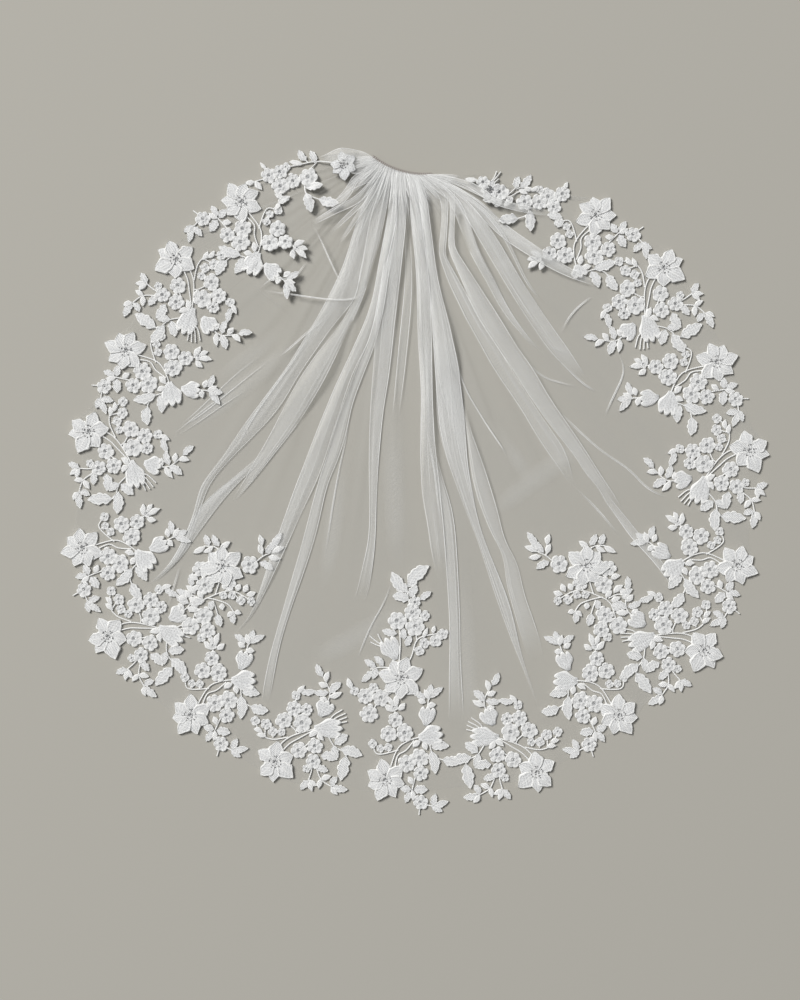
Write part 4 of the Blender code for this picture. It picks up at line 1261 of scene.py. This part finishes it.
def lace_placing(x, y, turn, mirrored):
    """A function that gives the place on the veil for one of a drawing."""
    cosine, sine = math.cos(math.radians(turn)), math.sin(math.radians(turn))
    flip = -1 if mirrored else 1
    middle = Vector((x * MM, y * MM)) - Vector(LAID_MIDDLE)
    return lambda u, v: (
        middle.x + flip * (u * cosine - v * sine) * MM,
        middle.y + (u * sine + v * cosine) * MM,
    )


def build_lace():
    """Each spray as an object on its solid, and the beads of all of them as one."""
    material = lace_material()
    reliefs = {name: drawn(drawing) for name, drawing in DRAWINGS.items()}
    beads = Mesh()
    made = []
    for name, x, y, drawing, turn, mirrored in SPRAYS:
        relief = reliefs[drawing]
        tree = tree_of(["applique_" + name])
        placed = lace_placing(x, y, turn, mirrored)
        spray = Mesh()
        for u, v, lift in relief.points:
            across, up = placed(u, v)
            spray.points.append((across, up, lace_ground(tree, across, up) + lift * LACE_RELIEF * MM))
        spray.faces = [tuple(reversed(face)) for face in relief.faces] if mirrored else relief.faces
        spray.marks = relief.marks
        spray.closeness = relief.closeness
        piece = spray.build("lace_" + name, material)
        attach(piece, "root")
        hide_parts("applique_" + name)
        made.append(piece)
        for u, v, lift, turned in relief.beads:
            across, up = placed(u, v)
            height = lace_ground(tree, across, up) + lift * MM
            add_bead(beads, across, up, height, -turned if mirrored else turned)
    piece = beads.build("lace_beads", plain_material("beads_grey", (0.20, 0.20, 0.205), 0.3))
    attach(piece, "root")
    return made


def add_bead(mesh, x, y, z, turned):
    """A small oval bead."""
    rows = []
    cosine, sine = math.cos(turned), math.sin(turned)
    length, width, height = BEAD_SIZE
    for ring in range(5):
        polar = math.pi * (ring + 0.02) / 4.04
        up = z - height * math.cos(polar)
        row = []
        for step in range(6):
            angle = 2 * math.pi * step / 6
            long = length * math.sin(polar) * math.cos(angle)
            wide = width * math.sin(polar) * math.sin(angle)
            row.append((x + long * cosine - wide * sine, y + long * sine + wide * cosine, up))
        rows.append(row)
    mesh.grid(rows, [[(0.0, 0.0)] * 6] * 5, closed=True)


# Comb

def build_stitches():
    """Whipped thread round the comb's back."""
    mesh = Mesh()
    along = Vector((math.cos(COMB_TURN), math.sin(COMB_TURN)))
    for stitch in range(STITCH_COUNT):
        rows = []
        for step in range(STITCH_STEPS + 1):
            share = step / STITCH_STEPS
            turn = math.pi * share * 1.1 - 0.15
            outward = 2.1 * MM + 2.6 * MM * math.cos(turn)
            place = comb_point((stitch + 0.5) / STITCH_COUNT + STITCH_LEAN * (share - 0.5), outward)
            height = 1.6 * MM + 4.1 * MM * math.sin(turn)
            half = along * THREAD_HALF_WIDTH
            rows.append([
                (*(place + half * part), height + lift) for part, lift in ((-1, 0), (0, 0.3 * MM), (1, 0))
            ])
        mesh.grid(rows, [[(0.0, 0.0)] * 3] * len(rows))
    return mesh.build("comb_stitches", plain_material("thread", (0.62, 0.60, 0.57), 0.7))


def dress_comb():
    """The comb's own solid, in plastic of a dark brownish colour that is painted shade."""
    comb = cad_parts["comb"]
    comb.data.materials.clear()
    # Painted shade: the comb is coloured darker than its pale pink plastic
    comb.data.materials.append(plain_material("comb_plastic_painted_shade", (0.27, 0.24, 0.22), 0.32))


# Room

def build_floor():
    data = bpy.data.meshes.new("floor")
    corners = [(x * FLOOR_HALF, y * FLOOR_HALF, 0) for x, y in ((-1, -1), (1, -1), (1, 1), (-1, 1))]
    data.from_pydata(corners, [], [(0, 1, 2, 3)])
    data.materials.append(plain_material("floor_paint", FLOOR_COLOUR, 0.9))
    floor = bpy.data.objects.new("floor", data)
    bpy.context.scene.collection.objects.link(floor)


def build_light():
    """One broad soft light from the upper left, and a pale room."""
    scene = bpy.context.scene
    world = bpy.data.worlds.new("studio")
    scene.world = world
    world.use_nodes = True
    background = world.node_tree.nodes["Background"]
    background.inputs["Color"].default_value = (0.97, 0.985, 1.0, 1)
    background.inputs["Strength"].default_value = WORLD_STRENGTH
    data = bpy.data.lights.new("key", "AREA")
    data.shape = "DISK"
    data.size = KEY_SIZE
    data.energy = KEY_POWER
    data.color = (1.0, 0.99, 0.97)
    key = bpy.data.objects.new("key", data)
    key.location = KEY_PLACE
    key.rotation_euler = (-Vector(KEY_PLACE)).to_track_quat("-Z", "Y").to_euler()
    scene.collection.objects.link(key)


def build_camera():
    """Straight above the picture's middle, so that the picture's height fits its view."""
    scene = bpy.context.scene
    data = bpy.data.cameras.new("camera")
    data.sensor_width = SENSOR
    data.lens = SENSOR * CAMERA_HEIGHT / (PICTURE_HEIGHT * UNIT)
    data.clip_end = 20
    camera = bpy.data.objects.new("camera", data)
    camera.location = (*spot(*CAMERA_AIM), CAMERA_HEIGHT)
    scene.collection.objects.link(camera)
    scene.camera = camera
    scene.view_settings.view_transform = "Standard"
    scene.view_settings.look = "None"
    scene.cycles.transparent_max_bounces = 40


def main():
    tulle = build_tulle()
    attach(tulle, "root")
    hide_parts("tulle")
    lace = build_lace()
    stitches = build_stitches()
    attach(stitches, "root")
    dress_comb()
    build_floor()
    build_light()
    build_camera()


main()
